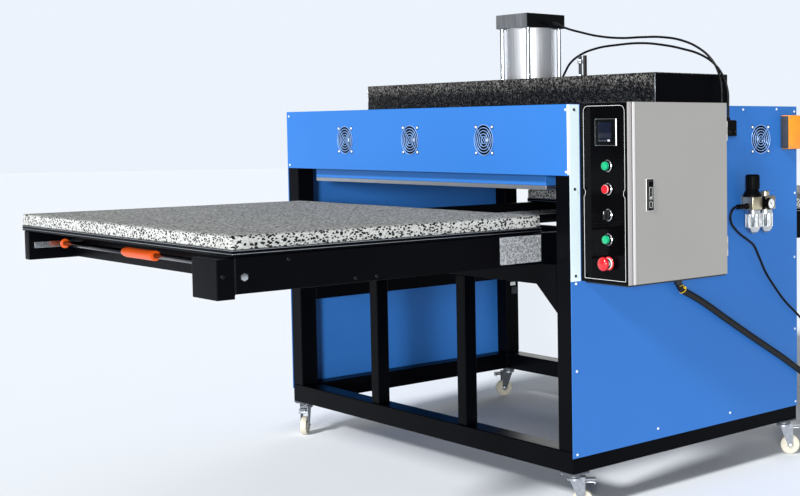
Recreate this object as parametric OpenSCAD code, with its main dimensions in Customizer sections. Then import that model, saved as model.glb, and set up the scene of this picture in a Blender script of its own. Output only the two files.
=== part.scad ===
// Double-station heat transfer press: a pneumatic platen in the middle of a
// box-tube frame, and two drawers that slide out to the front and to the rear.
// Millimetres. X is the width, Y the drawer travel (front is -Y), Z is up from
// the floor, and the origin is on the floor under the middle of the whole press.

/* [Frame] */
// Room from the edge of a pad to the outside of the side panel
side_room = 175; // [150:5:250]
// Depth from the front panel to the rear panel
body_d = 1600; // [1560:10:1800]
// Height of the roof above the floor
body_h = 1860; // [1840:10:2000]
// Square tube of the base, posts and roof frame
tube = 100; // [80:5:110]
// Height of the roof frame's tubes
roof_tube = 80; // [60:5:82]
// Wall of the frame tubes
tube_wall = 4; // [3:0.5:6]
// Square tube of the centre posts
centre_tube = 70; // [50:5:90]
// Distance of each centre post from the middle
centre_post_x = 385; // [300:5:500]
// Drop from the underside of the slide beams to that of the side rails
side_rail_drop = 358; // [280:2:500]
// Thickness of the sheet panels
sheet = 3; // [2:0.5:4]
// Height of the front and rear panels
end_panel_h = 320; // [280:5:330]
// Gap between the base underside and the side panels
side_panel_lift = 72; // [20:2:90]
// Leg of the welded gussets, across
gusset_x = 145; // [80:5:200]
// Leg of the welded gussets, down
gusset_z = 124; // [80:2:180]
// Thickness of the gussets
gusset_t = 12; // [6:1:20]

/* [Casters] */
// Height from the floor to the top of the caster plate
caster_h = 190; // [170:5:220]
// Wheel diameter
wheel_d = 104; // [80:2:110]
// Wheel width
wheel_w = 32; // [24:1:38]
// Distance from the swivel axis to the wheel axle
caster_trail = 35; // [20:1:45]
// Axle diameter
axle_d = 12; // [8:1:16]
// Width and length of the caster plate
plate_w = 100; // [80:2:110]
// Thickness of the caster plate
plate_t = 10; // [6:1:14]

/* [Slides and drawers] */
// Height of the slide beams
beam_h = 140; // [120:2:150]
// Thickness of the slide beams
beam_w = 55; // [40:1:60]
// Reach of the slide beams from the middle
beam_reach = 2315; // [2280:5:2500]
// Drop from the roof to the underside of the slide beams
beam_drop = 722; // [690:2:760]
// Width of the pads
pad_w = 2100; // [1900:10:2120]
// Depth of the pads
pad_d = 1500; // [1400:10:1500]
// Thickness of the pads
pad_t = 55; // [30:1:60]
// Thickness of the drawer tables
table_t = 25; // [15:1:30]
// Depth of the carriage under each table
carriage_d = 1060; // [900:10:1200]
// Height of the linear rails
track_h = 30; // [20:1:40]
// Width of the linear rails
track_w = 15; // [10:1:20]
// Length of a runner block
runner_l = 120; // [80:5:160]
// Diameter of the handle bars
bar_d = 24; // [18:1:30]
// Distance from a handle bar's end to the slide beam
bar_end_gap = 85; // [50:5:200]
// Distance of the bar axis from the apron
bar_gap = 65; // [50:1:80]
// Grip diameter
grip_d = 46; // [36:1:60]
// Grip length
grip_l = 325; // [200:5:400]

/* [Platen] */
// Margin of a pad beside the heated plate
pad_margin = 50; // [10:5:100]
// Thickness of the heated plate
platen_t = 20; // [15:1:30]
// Height of the insulated cover
cover_h = 60; // [45:1:65]
// Gap between pad and heated plate with the platen up
daylight = 110; // [90:1:112]
// Diameter of the guide rods
guide_d = 40; // [25:1:50]
// Distance of the guide rods from the middle, across
guide_x = 800; // [700:10:900]
// Diameter of the two stop rods
stop_rod_d = 20; // [14:1:24]

/* [Cylinder] */
// Width of the square end caps
cap_w = 268; // [260:2:300]
// Thickness of an end cap
cap_t = 75; // [50:1:80]
// Bore of the barrel
bore_d = 250; // [200:2:254]
// Outside diameter of the barrel
barrel_d = 262; // [258:1:266]
// Length of the barrel between its caps
barrel_l = 277; // [240:1:320]
// Diameter of the piston rod
rod_d = 70; // [50:1:80]
// Diameter of the tie rods
tie_d = 24; // [16:1:26]
// Distance of the tie rods from the axis, each way
tie_x = 110; // [108:1:114]
// Height of the cover over the roof beams
hood_h = 156; // [140:2:166]
// Depth of the cover over the roof beams
hood_d = 514; // [480:2:560]

/* [Fans] */
// Distance between neighbouring front fans
fan_pitch = 610; // [400:10:800]
// Width of a fan frame
fan_w = 150; // [120:1:170]
// Depth of a fan frame
fan_t = 50; // [38:1:60]
// Bore of a fan frame
fan_bore = 142; // [114:1:146]

/* [Control box] */
// Width of the box, away from the side panel
box_w = 307; // [260:1:360]
// Depth of the box
box_d = 643; // [600:1:680]
// Height of the box
box_h = 799; // [760:1:850]
// Height of the box's top above the roof
box_rise = 5; // [0:1:20]
// Diameter of the push buttons
button_d = 40; // [28:1:46]
// Diameter of the emergency stop
stop_button_d = 62; // [40:1:70]

/* [Air unit] */
// Distance of the air unit's axis from the side panel
air_x = 75; // [60:1:90]
// Diameter of the bowls
bowl_d = 78; // [60:1:82]
// Height of the bowls
bowl_h = 120; // [90:1:130]
// Diameter of the regulator knob
knob_d = 86; // [60:1:90]

/* [Cords] */
// Diameter of the power cable
cable_d = 34; // [30:1:36]
// Diameter of the supply hose
hose_d = 12; // [10:1:14]
// Diameter of the cylinder hoses
air_hose_d = 12; // [10:1:14]

/* [Hidden] */

fine = 64;            // facets of a drawn circle
gap = 0.3;            // clearance between parts that turn or slide past each other
fit = 0.05;           // radial clearance of a shaft in its bore
nib = 1;              // overrun of a cut past a face

body_w = pad_w + 2 * side_room;
half_w = body_w / 2;
half_d = body_d / 2;
frame_w = half_w - sheet;           // outer face of the posts
frame_d = half_d - sheet;
base_top = caster_h + tube;
roof_z = body_h - sheet;            // top of the roof frame
top_frame_z = roof_z - roof_tube;
post_x = frame_w - tube;            // inner face of the corner posts
post_y = frame_d - tube;

// door latch: plate, projection and place
latch_t = 8;
latch_w = 44;
latch_h = 140;
latch_rise = 391;                    // latch above the box's underside
bezel_t = 3;
paddle_margin = 9;                  // bezel around the turning paddle
spindle_d = 12;
box_right = half_w + box_w;
box_top = body_h + box_rise;
box_z = box_top - box_h;
centre_x = (box_right + latch_t - half_w) / 2;

beam_over = 5;                      // slide beams beyond the pad's edges
beam_z = body_h - beam_drop;
beam_out = pad_w / 2 + beam_over;
beam_in = beam_out - beam_w;
beam_top = beam_z + beam_h;
cross_h = tube;
cross_z = beam_z - cross_h;
side_rail_z = beam_z - side_rail_drop;
pad_reach = 10;                     // pad beyond the slide beams when pulled out
travel = beam_reach + pad_reach - pad_d / 2;
table_gap = 2;                      // table above the slide beams
table_z = beam_top + table_gap;
pad_z = table_z + table_t;
pad_top = pad_z + pad_t;

track_z = beam_z + 57;
runner_gap = 3;                     // runner block to beam face
runner_clear = 0.5;
runner_w = 47;
runner_h = 75;
runner_y = carriage_d / 2 - 100;
apron_t = 6;
apron_drop = 7;                     // apron above the cross beams
apron_h = table_z - beam_z - apron_drop;
member_t = 8;                       // plates of the carriage
skin_t = 4;                         // top sheet of a table
bays = 4;

platen_w = pad_w - 2 * pad_margin;
platen_d = pad_d;
platen_z = pad_top + daylight;
cover_z = platen_z + platen_t;
cover_top = cover_z + cover_h;
stiffener = 60;
stiff_top = cover_top + stiffener;
stroke = daylight - gap;
guide_y = 200;
bushing_drop = 95;
bushing_wall = 16;
guide_top = roof_z - 12;
stop_rod_top = body_h + 277;
stop_rod_x = [407, 445];

hood_top = body_h + hood_h;
cap_low_z = hood_top - cap_t + 7;
barrel_z = cap_low_z + cap_t;
cap_high_z = barrel_z + barrel_l;
cap_top = cap_high_z + cap_t;
mount_t = 25;
bearer_y = 150;                     // inner face of the roof beams
piston_t = 60;
piston_top = cap_high_z - 5;

fan_z = body_h - end_panel_h / 2;
side_fan = [505, body_h - 170];
guard_t = 6;
rotor_t = 30;
hub_d = 60;
blades = 7;

box_y = -738;                       // front face of the control panel
panel_t = 3;
latch_y = box_y + 134;
box_front = box_y + panel_t;
box_rear = box_y + box_d;
latch_z = box_z + latch_rise;
panel_rim = 7;
hinge_d = 8;
hinge_pin_d = 4;
hinge_x = box_right - hinge_d / 2;  // hinge axis behind the box's rear wall
hinge_y = box_rear + hinge_d / 2 + gap;
hinge_z = [box_z + 130, box_top - 130];
knuckle_l = 30;
device_x = half_w + 183;            // centre line of the panel's devices
collar_t = 14;
button_travel = 4;
neck_d = 30;                        // stem of the emergency stop
neck_collar_h = 10;

air_y = 356;                        // regulator axis
air_pitch = 96;                     // regulator to lubricator
air_z = body_h - 490;               // port axis
air_body = 68;
air_w = 72;

// A route moved, and stretched along each axis, so that it runs from a to b.
function between(a, b, p) =
    let (first = p[0], run = p[len(p) - 1] - first)
    [for (q = p) [for (i = [0 : 2])
        a[i] + (q[i] - first[i]) * (run[i] == 0 ? 1 : (b[i] - a[i]) / run[i])]];
function moved(by, p) = [for (q = p) q + by];

// centre line of the power cable, from its gland to the floor behind the press
gland_d = 56;
gland_h = 30;
cable_start = [half_w + 37, -150, box_z - gland_h];
coil_turn = 187;                    // mean radius of the cable coil
coil_at = [half_w - 81, half_d + 600, 0];
cable_route = between(cable_start, coil_at + [coil_turn + cable_d / 2, 0, cable_d / 2], [
    [1262, -150, 1036], [1262, -150, 1026], [1262, -147, 1008], [1262, -136, 986],
    [1261, -110, 965], [1260, -65, 943], [1258, 0, 911], [1256, 90, 861], [1254, 180, 808],
    [1253, 270, 756], [1252, 360, 704], [1251, 455, 650], [1250, 555, 594],
    [1250, 650, 540], [1251, 740, 485], [1254, 830, 428], [1260, 915, 368],
    [1270, 990, 303], [1282, 1050, 240], [1296, 1105, 180], [1310, 1160, 125],
    [1325, 1215, 78], [1336, 1270, 43], [1344, 1330, 22], [1348, 1400, 17]
]);
cable_tail = moved(coil_at, [
    [0, 204, 51], [-34, 205, 50], [-69, 208, 47], [-104, 211, 44], [-139, 213, 42],
    [-164, 214, 42]
]);
plug_at = cable_tail[len(cable_tail) - 1];
plug_d = 80;
plug_l = 130;

// centre line of the supply hose, from the inlet port to the floor
port_l = 74;
hose_start = [half_w + air_x, air_y - 42 - port_l, air_z - 14];
hose_turn = 66;                     // mean radius of the hose coil
hose_coil_at = [half_w + 225, half_d + 380, 0];
hose_route = between(hose_start, hose_coil_at + [-hose_turn - hose_d, 0, hose_d / 2], [
    [1300, 240, 1356], [1300, 234, 1356], [1299, 220, 1353], [1297, 205, 1342],
    [1295, 196, 1322], [1293, 195, 1300], [1290, 205, 1277], [1286, 232, 1250],
    [1280, 285, 1214], [1272, 350, 1182], [1264, 405, 1150], [1258, 450, 1092],
    [1255, 510, 1001], [1253, 575, 929], [1252, 641, 862], [1251, 700, 812],
    [1251, 760, 767], [1254, 830, 706], [1264, 890, 642], [1282, 940, 572],
    [1305, 980, 487], [1328, 1010, 390], [1346, 1033, 290], [1359, 1055, 195],
    [1366, 1077, 110], [1370, 1100, 52], [1372, 1128, 18], [1372, 1155, 7],
    [1372, 1180, 6]
]);
hose_tail = moved(hose_coil_at, [
    [0, 78, 18], [14, 80, 17], [26, 85, 15], [36, 90, 13], [44, 92, 12]
]);
coupler_at = hose_tail[len(hose_tail) - 1];
coupler_l = 48;

// centre lines of the two cylinder hoses, from the cylinder to the valve
valve_size = [85, 75, 75];
valve_at = [half_w, 150, body_h - 151];
valve_top = valve_at[2] + valve_size[2];
fitting_h = 16;
upper_route = between([cap_w / 2 + 46, 0, cap_top - 53],
                      [half_w + 37, valve_at[1] + 20, valve_top + fitting_h], [
    [180, 0, 2322], [188, 0, 2322], [225, 6, 2312], [275, 17, 2291], [380, 38, 2262],
    [490, 55, 2238], [640, 78, 2221], [775, 97, 2219], [905, 115, 2213],
    [1030, 132, 2190], [1130, 147, 2148], [1202, 158, 2092], [1242, 165, 2030],
    [1260, 169, 1960], [1262, 170, 1880], [1262, 170, 1800]
]);
lower_route = between([cap_w / 2 + 61, 5, cap_low_z + 37],
                      [half_w + 60, valve_at[1] + 41, valve_top + fitting_h], [
    [195, 5, 1985], [202, 5, 1985], [224, 9, 1998], [243, 14, 2022], [262, 20, 2055],
    [290, 28, 2098], [352, 38, 2139], [460, 55, 2172], [615, 80, 2187],
    [770, 102, 2189], [895, 122, 2175], [1020, 140, 2150], [1140, 160, 2112],
    [1215, 172, 2064], [1262, 183, 2000], [1283, 190, 1930], [1285, 191, 1865],
    [1285, 191, 1800]
]);
fitting_d = 22;

// Places a sub-part drawn about the middle of the frame.
module placed() {
    translate([-centre_x, 0, 0]) children();
}

// A box from two corners.
module block(low, high) {
    translate(low) cube(high - low);
}

// A closed box tube from two corners.
module box_tube(low, high) {
    wall = [tube_wall, tube_wall, tube_wall];
    difference() {
        block(low, high);
        block(low + wall, high - wall);
    }
}

// The same shape on both sides of the middle, left and right.
module both_sides() {
    children();
    mirror([1, 0, 0]) children();
}

// The same shape at the front and at the rear.
module both_ends() {
    children();
    mirror([0, 1, 0]) children();
}

// ---- Cord sweep ----
function unit(v) = v / norm(v);
function heading(p, i) =
    unit(p[min(i + 1, len(p) - 1)] - p[max(i - 1, 0)]);
function side_of(h) =
    unit(cross(h, abs(h[2]) > 0.9 ? [0, 1, 0] : [0, 0, 1]));
// A ring's first direction is the one before it, turned as little as possible.
function frames(p, i = 0, last = undef) =
    i >= len(p) ? [] :
    let (h = heading(p, i),
         s = last == undef ? side_of(h) : unit(last - h * (last * h)))
    concat([[s, cross(h, s)]], frames(p, i + 1, s));
function ring(c, f, r, n) =
    [for (k = [0 : n - 1]) c + r * (cos(360 * k / n) * f[0] + sin(360 * k / n) * f[1])];

// A round cord of diameter d along the route p, closed at both ends.
module cord(p, d, n = 8) {
    f = frames(p);
    rings = [for (i = [0 : len(p) - 1]) each ring(p[i], f[i], d / 2, n)];
    sides = [for (i = [0 : len(p) - 2]) for (k = [0 : n - 1])
        [(i + 1) * n + k, (i + 1) * n + (k + 1) % n, i * n + (k + 1) % n, i * n + k]];
    start = [for (k = [0 : n - 1]) k];
    finish = [for (k = [n - 1 : -1 : 0]) (len(p) - 1) * n + k];
    polyhedron(points = rings, faces = concat(sides, [start, finish]));
}

// ---- Frame ----
module base_frame() {
    placed() color("#16181a") {
        both_sides() box_tube([post_x, -frame_d, caster_h], [frame_w, frame_d, base_top]);
        both_ends() box_tube([-post_x, post_y, caster_h], [post_x, frame_d, base_top]);
    }
}

module posts() {
    centre_y = half_d - 10;
    placed() color("#16181a") both_sides() both_ends() {
        box_tube([post_x, post_y, base_top], [frame_w, frame_d, top_frame_z]);
        box_tube([centre_post_x - centre_tube / 2, centre_y - centre_tube, base_top],
                 [centre_post_x + centre_tube / 2, centre_y, cross_z]);
    }
}

module gusset() {
    translate([post_x, frame_d, cross_z]) rotate([90, 0, 0])
        linear_extrude(gusset_t) polygon([[0, 0], [-gusset_x, 0], [0, -gusset_z]]);
}

module cross_beams() {
    placed() color("#16181a") {
        both_ends() {
            box_tube([-post_x, post_y, cross_z], [post_x, frame_d, beam_z]);
            both_sides() gusset();
        }
        both_sides()
            box_tube([post_x, -post_y, side_rail_z], [frame_w, post_y, side_rail_z + tube]);
    }
}

module top_frame() {
    placed() color("#16181a") difference() {
        union() {
            both_sides()
                box_tube([post_x, -frame_d, top_frame_z], [frame_w, frame_d, roof_z]);
            both_ends() {
                box_tube([-post_x, post_y, top_frame_z], [post_x, frame_d, roof_z]);
                box_tube([-post_x, bearer_y, top_frame_z], [post_x, bearer_y + tube, roof_z]);
            }
            both_ends()
                box_tube([-cap_w / 2 - 30, bearer_y, roof_z],
                         [cap_w / 2 + 30, bearer_y + tube, cap_low_z - mount_t]);
            block([-cap_w / 2 - 30, -bearer_y - tube, cap_low_z - mount_t],
                  [cap_w / 2 + 30, bearer_y + tube, cap_low_z]);
            both_sides() both_ends() translate([guide_x, guide_y, top_frame_z - bushing_drop])
                cylinder(d = guide_d + 2 * bushing_wall, h = bushing_drop + roof_tube, $fn = fine);
        }
        both_sides() both_ends() translate([guide_x, guide_y, top_frame_z - bushing_drop - nib])
            cylinder(r = guide_d / 2 + fit, h = bushing_drop + roof_tube + 2 * nib, $fn = fine);
        translate([0, 0, cap_low_z - mount_t - nib])
            cylinder(d = rod_d + 20, h = mount_t + 2 * nib, $fn = fine);
    }
}

module beam_cover() {
    cut_left = cap_w / 2 + 6;
    cut_right = 265;
    placed() color("#0f1113") difference() {
        block([-frame_w, -hood_d / 2, body_h], [frame_w, hood_d / 2, hood_top]);
        block([-frame_w + sheet, -hood_d / 2 + sheet, body_h - nib],
              [frame_w - sheet, hood_d / 2 - sheet, hood_top - sheet]);
        block([-cut_left, -cut_left, hood_top - sheet - nib], [cut_right, cut_left, hood_top + nib]);
        for (x = stop_rod_x) translate([x, 0, hood_top - sheet - nib])
            cylinder(d = stop_rod_d + 4, h = sheet + 2 * nib, $fn = fine);
    }
}

module end_panels() {
    low = body_h - end_panel_h;
    placed() color("#6fa9e8") difference() {
        both_ends() {
            block([-frame_w, frame_d, low], [frame_w, half_d, body_h]);
            block([-frame_w, hood_d / 2, roof_z], [frame_w, frame_d, body_h]);
        }
        for (i = [-1 : 1]) translate([i * fan_pitch, -half_d - nib, fan_z]) rotate([-90, 0, 0])
            cylinder(d = fan_bore, h = sheet + 2 * nib, $fn = fine);
    }
}

module side_panels() {
    placed() color("#4a92d8") difference() {
        both_sides()
            block([frame_w, -half_d, caster_h + side_panel_lift], [half_w, half_d, body_h]);
        translate([frame_w - nib, side_fan[0], side_fan[1]]) rotate([0, 90, 0])
            cylinder(d = fan_bore, h = sheet + 2 * nib, $fn = fine);
    }
}

// ---- Slides ----
module slide_rails() {
    stop_w = 200;
    stop_l = 72;
    stop_lift = 18;
    stop_h = 153;
    placed() color("#101214") {
        both_sides()
            box_tube([beam_in, -beam_reach, beam_z], [beam_out, beam_reach, beam_top]);
        both_ends()
            block([beam_out - 5 - stop_w, beam_reach, beam_z - stop_lift],
                  [beam_out - 5, beam_reach + stop_l, beam_z - stop_lift + stop_h]);
    }
}

module guide_tracks() {
    placed() color("#c9cccf") both_sides()
        block([beam_in - track_w, -beam_reach + 20, track_z],
              [beam_in, beam_reach - 20, track_z + track_h]);
}

// ---- Cylinder ----
module tie_positions() {
    for (x = [-tie_x, tie_x]) for (y = [-tie_x, tie_x]) translate([x, y, 0]) children();
}

module cylinder_caps() {
    placed() color("#8e9194") difference() {
        union() {
            block([-cap_w / 2, -cap_w / 2, cap_low_z], [cap_w / 2, cap_w / 2, barrel_z]);
            block([-cap_w / 2, -cap_w / 2, cap_high_z], [cap_w / 2, cap_w / 2, cap_top]);
        }
        tie_positions() translate([0, 0, cap_low_z - nib])
            cylinder(d = tie_d + 2 * gap, h = cap_top - cap_low_z + 2 * nib, $fn = fine);
        translate([0, 0, cap_low_z - nib])
            cylinder(r = rod_d / 2 + fit, h = cap_t + 2 * nib, $fn = fine);
    }
}

module cylinder_barrel() {
    placed() color("#e3e5e7") translate([0, 0, barrel_z]) difference() {
        cylinder(d = barrel_d, h = barrel_l, $fn = fine);
        translate([0, 0, -nib]) cylinder(d = bore_d, h = barrel_l + 2 * nib, $fn = fine);
    }
}

module tie_rods() {
    placed() color("#d4d7da") tie_positions()
        translate([0, 0, cap_low_z]) cylinder(d = tie_d, h = cap_top - cap_low_z, $fn = fine);
}

module piston_rod() {
    placed() color("#d4d7da") {
        translate([0, 0, stiff_top])
            cylinder(d = rod_d, h = piston_top - piston_t - stiff_top, $fn = fine);
        translate([0, 0, piston_top - piston_t])
            cylinder(r = bore_d / 2 - fit, h = piston_t, $fn = fine);
    }
}

// ---- Platen ----
module heater_plate() {
    placed() color("#c4c7ca")
        block([-platen_w / 2, -platen_d / 2, platen_z], [platen_w / 2, platen_d / 2, cover_z]);
}

module platen_cover() {
    wall = 3;
    boss = 160;
    placed() color("#8dbdf0") {
        difference() {
            block([-platen_w / 2, -platen_d / 2, cover_z], [platen_w / 2, platen_d / 2, cover_top]);
            block([-platen_w / 2 + wall, -platen_d / 2 + wall, cover_z - nib],
                  [platen_w / 2 - wall, platen_d / 2 - wall, cover_top - wall]);
        }
        both_ends()
            block([-guide_x - stiffener, guide_y - stiffener / 2, cover_top],
                  [guide_x + stiffener, guide_y + stiffener / 2, stiff_top]);
        block([-boss / 2, -guide_y + stiffener / 2, cover_top],
              [boss / 2, guide_y - stiffener / 2, stiff_top]);
        block([boss / 2, -stiffener / 2, cover_top],
              [stop_rod_x[1] + stiffener / 2, stiffener / 2, stiff_top]);
    }
}

module guide_rods() {
    placed() color("#d4d7da") {
        both_sides() both_ends() translate([guide_x, guide_y, stiff_top])
            cylinder(d = guide_d, h = guide_top - stiff_top, $fn = fine);
        for (x = stop_rod_x) translate([x, 0, stiff_top])
            cylinder(d = stop_rod_d, h = stop_rod_top - stiff_top, $fn = fine);
    }
}

// ---- Drawers, drawn under the platen and then pulled out to the front ----
module pulled_out(front) {
    placed() mirror([0, front ? 0 : 1, 0]) translate([0, -travel, 0]) children();
}

module table(front) {
    half_c = carriage_d / 2;
    inner = beam_in - runner_gap - runner_w;
    bay_w = (2 * inner - (bays + 1) * member_t) / bays;
    track_cut = track_w + runner_gap;
    skin_z = pad_z - skin_t;
    pulled_out(front) color("#121416") {
        // top sheet with its rim turned down
        difference() {
            block([-pad_w / 2, -pad_d / 2, table_z], [pad_w / 2, pad_d / 2, pad_z]);
            block([-pad_w / 2 + skin_t, -pad_d / 2 + skin_t, table_z - nib],
                  [pad_w / 2 - skin_t, pad_d / 2 - skin_t, skin_z]);
        }
        // plates of the carriage, with open bays between them
        difference() {
            block([-inner, -half_c, beam_z + apron_drop + 5], [inner, half_c, skin_z]);
            for (i = [0 : bays - 1]) let (low = -inner + member_t + i * (bay_w + member_t))
                block([low, -half_c + member_t, beam_z], [low + bay_w, half_c - member_t, skin_z]);
        }
        // apron, notched for the linear rails
        difference() {
            block([-beam_in + 5, -half_c - apron_t, table_z - apron_h],
                  [beam_in - 5, -half_c, skin_z]);
            both_sides()
                block([beam_in - track_cut, -half_c - apron_t - nib, track_z - runner_gap],
                      [beam_in, -half_c + nib, track_z + track_h + runner_gap]);
        }
        // runner blocks
        both_sides() both_ends() difference() {
            block([inner, runner_y - runner_l / 2, track_z + track_h / 2 - runner_h / 2],
                  [inner + runner_w, runner_y + runner_l / 2, track_z + track_h / 2 + runner_h / 2]);
            block([beam_in - track_w - runner_clear, runner_y - runner_l, track_z - runner_clear],
                  [beam_in, runner_y + runner_l, track_z + track_h + runner_clear]);
        }
    }
}

module front_table() {
    table(true);
}

module rear_table() {
    table(false);
}

module pad(front) {
    pulled_out(front) color("#b9bcbb")
        block([-pad_w / 2, -pad_d / 2, pad_z], [pad_w / 2, pad_d / 2, pad_top]);
}

module front_pad() {
    pad(true);
}

module rear_pad() {
    pad(false);
}

// Grip, bar and standoffs share these places.
bar_y = -carriage_d / 2 - apron_t - bar_gap;
bar_z = beam_z + 76;
grip_x = -250;
bar_l = 2 * (beam_in - bar_end_gap);
standoff_x = bar_l / 2 - 60;
standoff_d = 18;

module handle(front) {
    knob_l = 12;
    pulled_out(front) {
        color("#dfe2e4") {
            translate([-bar_l / 2, bar_y, bar_z]) rotate([0, 90, 0])
                cylinder(d = bar_d, h = grip_x + bar_l / 2, $fn = fine);
            translate([grip_x + grip_l, bar_y, bar_z]) rotate([0, 90, 0])
                cylinder(d = bar_d, h = bar_l / 2 - grip_x - grip_l, $fn = fine);
            both_sides() translate([standoff_x, bar_y, bar_z]) rotate([-90, 0, 0])
                cylinder(d = standoff_d, h = bar_gap, $fn = fine);
        }
        color("#f2793f") translate([-bar_l / 2 - knob_l, bar_y, bar_z]) rotate([0, 90, 0])
            cylinder(d = grip_d, h = knob_l, $fn = fine);
    }
}

module front_handle() {
    handle(true);
}

module rear_handle() {
    handle(false);
}

module grip(front) {
    dome = 60;
    pulled_out(front) color("#f2793f") translate([grip_x, bar_y, bar_z]) rotate([0, 90, 0])
        rotate_extrude($fn = fine) polygon(concat(
            [[0, 0], [bar_d / 2, 0]],
            [for (a = [15 : 15 : 90])
                [bar_d / 2 + (grip_d - bar_d) / 2 * sin(a), dome * (1 - cos(a))]],
            [[grip_d / 2, grip_l], [0, grip_l]]));
}

module front_grip() {
    grip(true);
}

module rear_grip() {
    grip(false);
}

// ---- Fans: axis along +Y, the outer face of the sheet at 0 ----
module fan_frame() {
    rim = 5;
    spider_t = 5;
    // stamped guard outside the sheet
    translate([0, -guard_t, 0]) rotate([-90, 0, 0]) linear_extrude(guard_t) {
        difference() {
            square(fan_w, center = true);
            circle(d = fan_bore - 4, $fn = fine);
        }
        for (d = [hub_d : 28 : fan_bore - 20]) difference() {
            circle(d = d, $fn = fine);
            circle(d = d - 2 * rim, $fn = fine);
        }
        for (a = [45, 135]) rotate(a) square([fan_bore, rim], center = true);
    }
    // housing behind the sheet
    translate([0, sheet, 0]) rotate([-90, 0, 0]) {
        linear_extrude(fan_t) difference() {
            square(fan_w, center = true);
            circle(d = fan_bore, $fn = fine);
        }
        translate([0, 0, fan_t - spider_t]) linear_extrude(spider_t) {
            circle(d = hub_d, $fn = fine);
            for (a = [0, 120, 240]) rotate(a) translate([0, -rim]) square([fan_bore / 2 + rim, 2 * rim]);
        }
    }
}

module rotor() {
    tip = fan_bore / 2 - 4;
    spider_t = 5;
    blade_t = 2;
    translate([0, sheet + fan_t - spider_t - gap - rotor_t, 0]) rotate([-90, 0, 0]) {
        cylinder(d = hub_d - 4, h = rotor_t, $fn = fine);
        for (k = [0 : blades - 1]) rotate(360 / blades * k)
            translate([hub_d / 2 - 6, 0, rotor_t / 2]) rotate([38, 0, 0])
                translate([0, -17, -blade_t / 2]) cube([tip - hub_d / 2, 34, blade_t]);
    }
}

module at_front_fan(i) {
    placed() translate([i * fan_pitch, -half_d, fan_z]) children();
}

module at_side_fan() {
    placed() translate([half_w, side_fan[0], side_fan[1]]) rotate(90) children();
}

module fan_guards() {
    color("#1b1e21") {
        for (i = [-1 : 1]) at_front_fan(i) fan_frame();
        at_side_fan() fan_frame();
    }
}

module left_fan_rotor() {
    color("#202326") at_front_fan(-1) rotor();
}

module middle_fan_rotor() {
    color("#202326") at_front_fan(0) rotor();
}

module right_fan_rotor() {
    color("#202326") at_front_fan(1) rotor();
}

module side_fan_rotor() {
    color("#202326") at_side_fan() rotor();
}

// ---- Control box ----
module box_shell() {
    lip = 22;
    placed() color("#c4c4c0") {
        difference() {
            block([half_w, box_front, box_z], [box_right, box_rear, box_top]);
            block([half_w + sheet, box_front + sheet, box_z + sheet],
                  [box_right - sheet, box_rear - sheet, box_top - sheet]);
            block([half_w + lip, box_front - nib, box_z + lip],
                  [box_right - lip, box_front + sheet + nib, box_top - lip]);
            block([box_right - sheet - nib, box_front + lip, box_z + lip],
                  [box_right + nib, box_rear - lip, box_top - lip]);
            block([box_right - sheet, box_front - nib, box_z - nib],
                  [box_right + nib, box_rear + nib, box_top + nib]);
        }
        translate(cable_start)
            cylinder(d = gland_d, h = gland_h, $fn = fine);
        // fixed knuckles and pins of the door's hinges
        for (z = hinge_z) {
            for (low = [z - 1.5 * knuckle_l - gap, z + knuckle_l / 2 + gap]) {
                translate([hinge_x, hinge_y, low]) cylinder(d = hinge_d, h = knuckle_l, $fn = fine);
                block([hinge_x - hinge_d, box_rear, low],
                      [hinge_x, box_rear + hinge_d / 2, low + knuckle_l]);
            }
            translate([hinge_x, hinge_y, z - knuckle_l])
                cylinder(d = hinge_pin_d, h = 2 * knuckle_l, $fn = fine);
        }
    }
}

// Heights of the devices on the panel, from the top down.
controller_z = box_z + 668;
start_z = box_z + 520;
stop_z = box_z + 418;
selector_z = box_z + 304;
reset_z = box_z + 196;
emergency_z = box_z + 90;

module at_device(z) {
    placed() translate([device_x, box_y, z]) rotate([90, 0, 0]) children();
}

module control_panel() {
    collar = 8;
    placed() color("#141618")
        block([half_w + panel_rim, box_y, box_z + panel_rim],
              [box_right - panel_rim, box_front, box_top - panel_rim]);
    color("#2a2d30") for (z = [start_z, stop_z, selector_z, reset_z]) at_device(z)
        difference() {
            cylinder(d = button_d + collar, h = collar_t, $fn = fine);
            translate([0, 0, -nib]) cylinder(d = button_d, h = collar_t + 2 * nib, $fn = fine);
        }
    color("#d9b320") at_device(emergency_z) difference() {
        cylinder(d = neck_d + 14, h = neck_collar_h, $fn = fine);
        translate([0, 0, -nib])
            cylinder(d = neck_d + 2 * gap, h = neck_collar_h + 2 * nib, $fn = fine);
    }
}

module box_door() {
    placed() color("#cfcfcb") {
        difference() {
            union() {
                block([box_right - sheet + gap, box_front + gap, box_z + gap],
                      [box_right, box_rear - gap, box_top - gap]);
                // bezel of the latch
                block([box_right, latch_y - latch_w / 2, latch_z - latch_h / 2],
                      [box_right + bezel_t, latch_y + latch_w / 2, latch_z + latch_h / 2]);
            }
            translate([box_right - sheet - nib, latch_y, latch_z]) rotate([0, 90, 0])
                cylinder(r = spindle_d / 2 + fit, h = sheet + bezel_t + 2 * nib, $fn = fine);
        }
        for (z = hinge_z) difference() {
            union() {
                translate([hinge_x, hinge_y, z - knuckle_l / 2])
                    cylinder(d = hinge_d, h = knuckle_l, $fn = fine);
                block([box_right - sheet + gap, box_rear - 2 * gap, z - knuckle_l / 2],
                      [box_right, hinge_y, z + knuckle_l / 2]);
            }
            translate([hinge_x, hinge_y, z - knuckle_l])
                cylinder(r = hinge_pin_d / 2 + fit, h = 2 * knuckle_l, $fn = fine);
        }
    }
}

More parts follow.
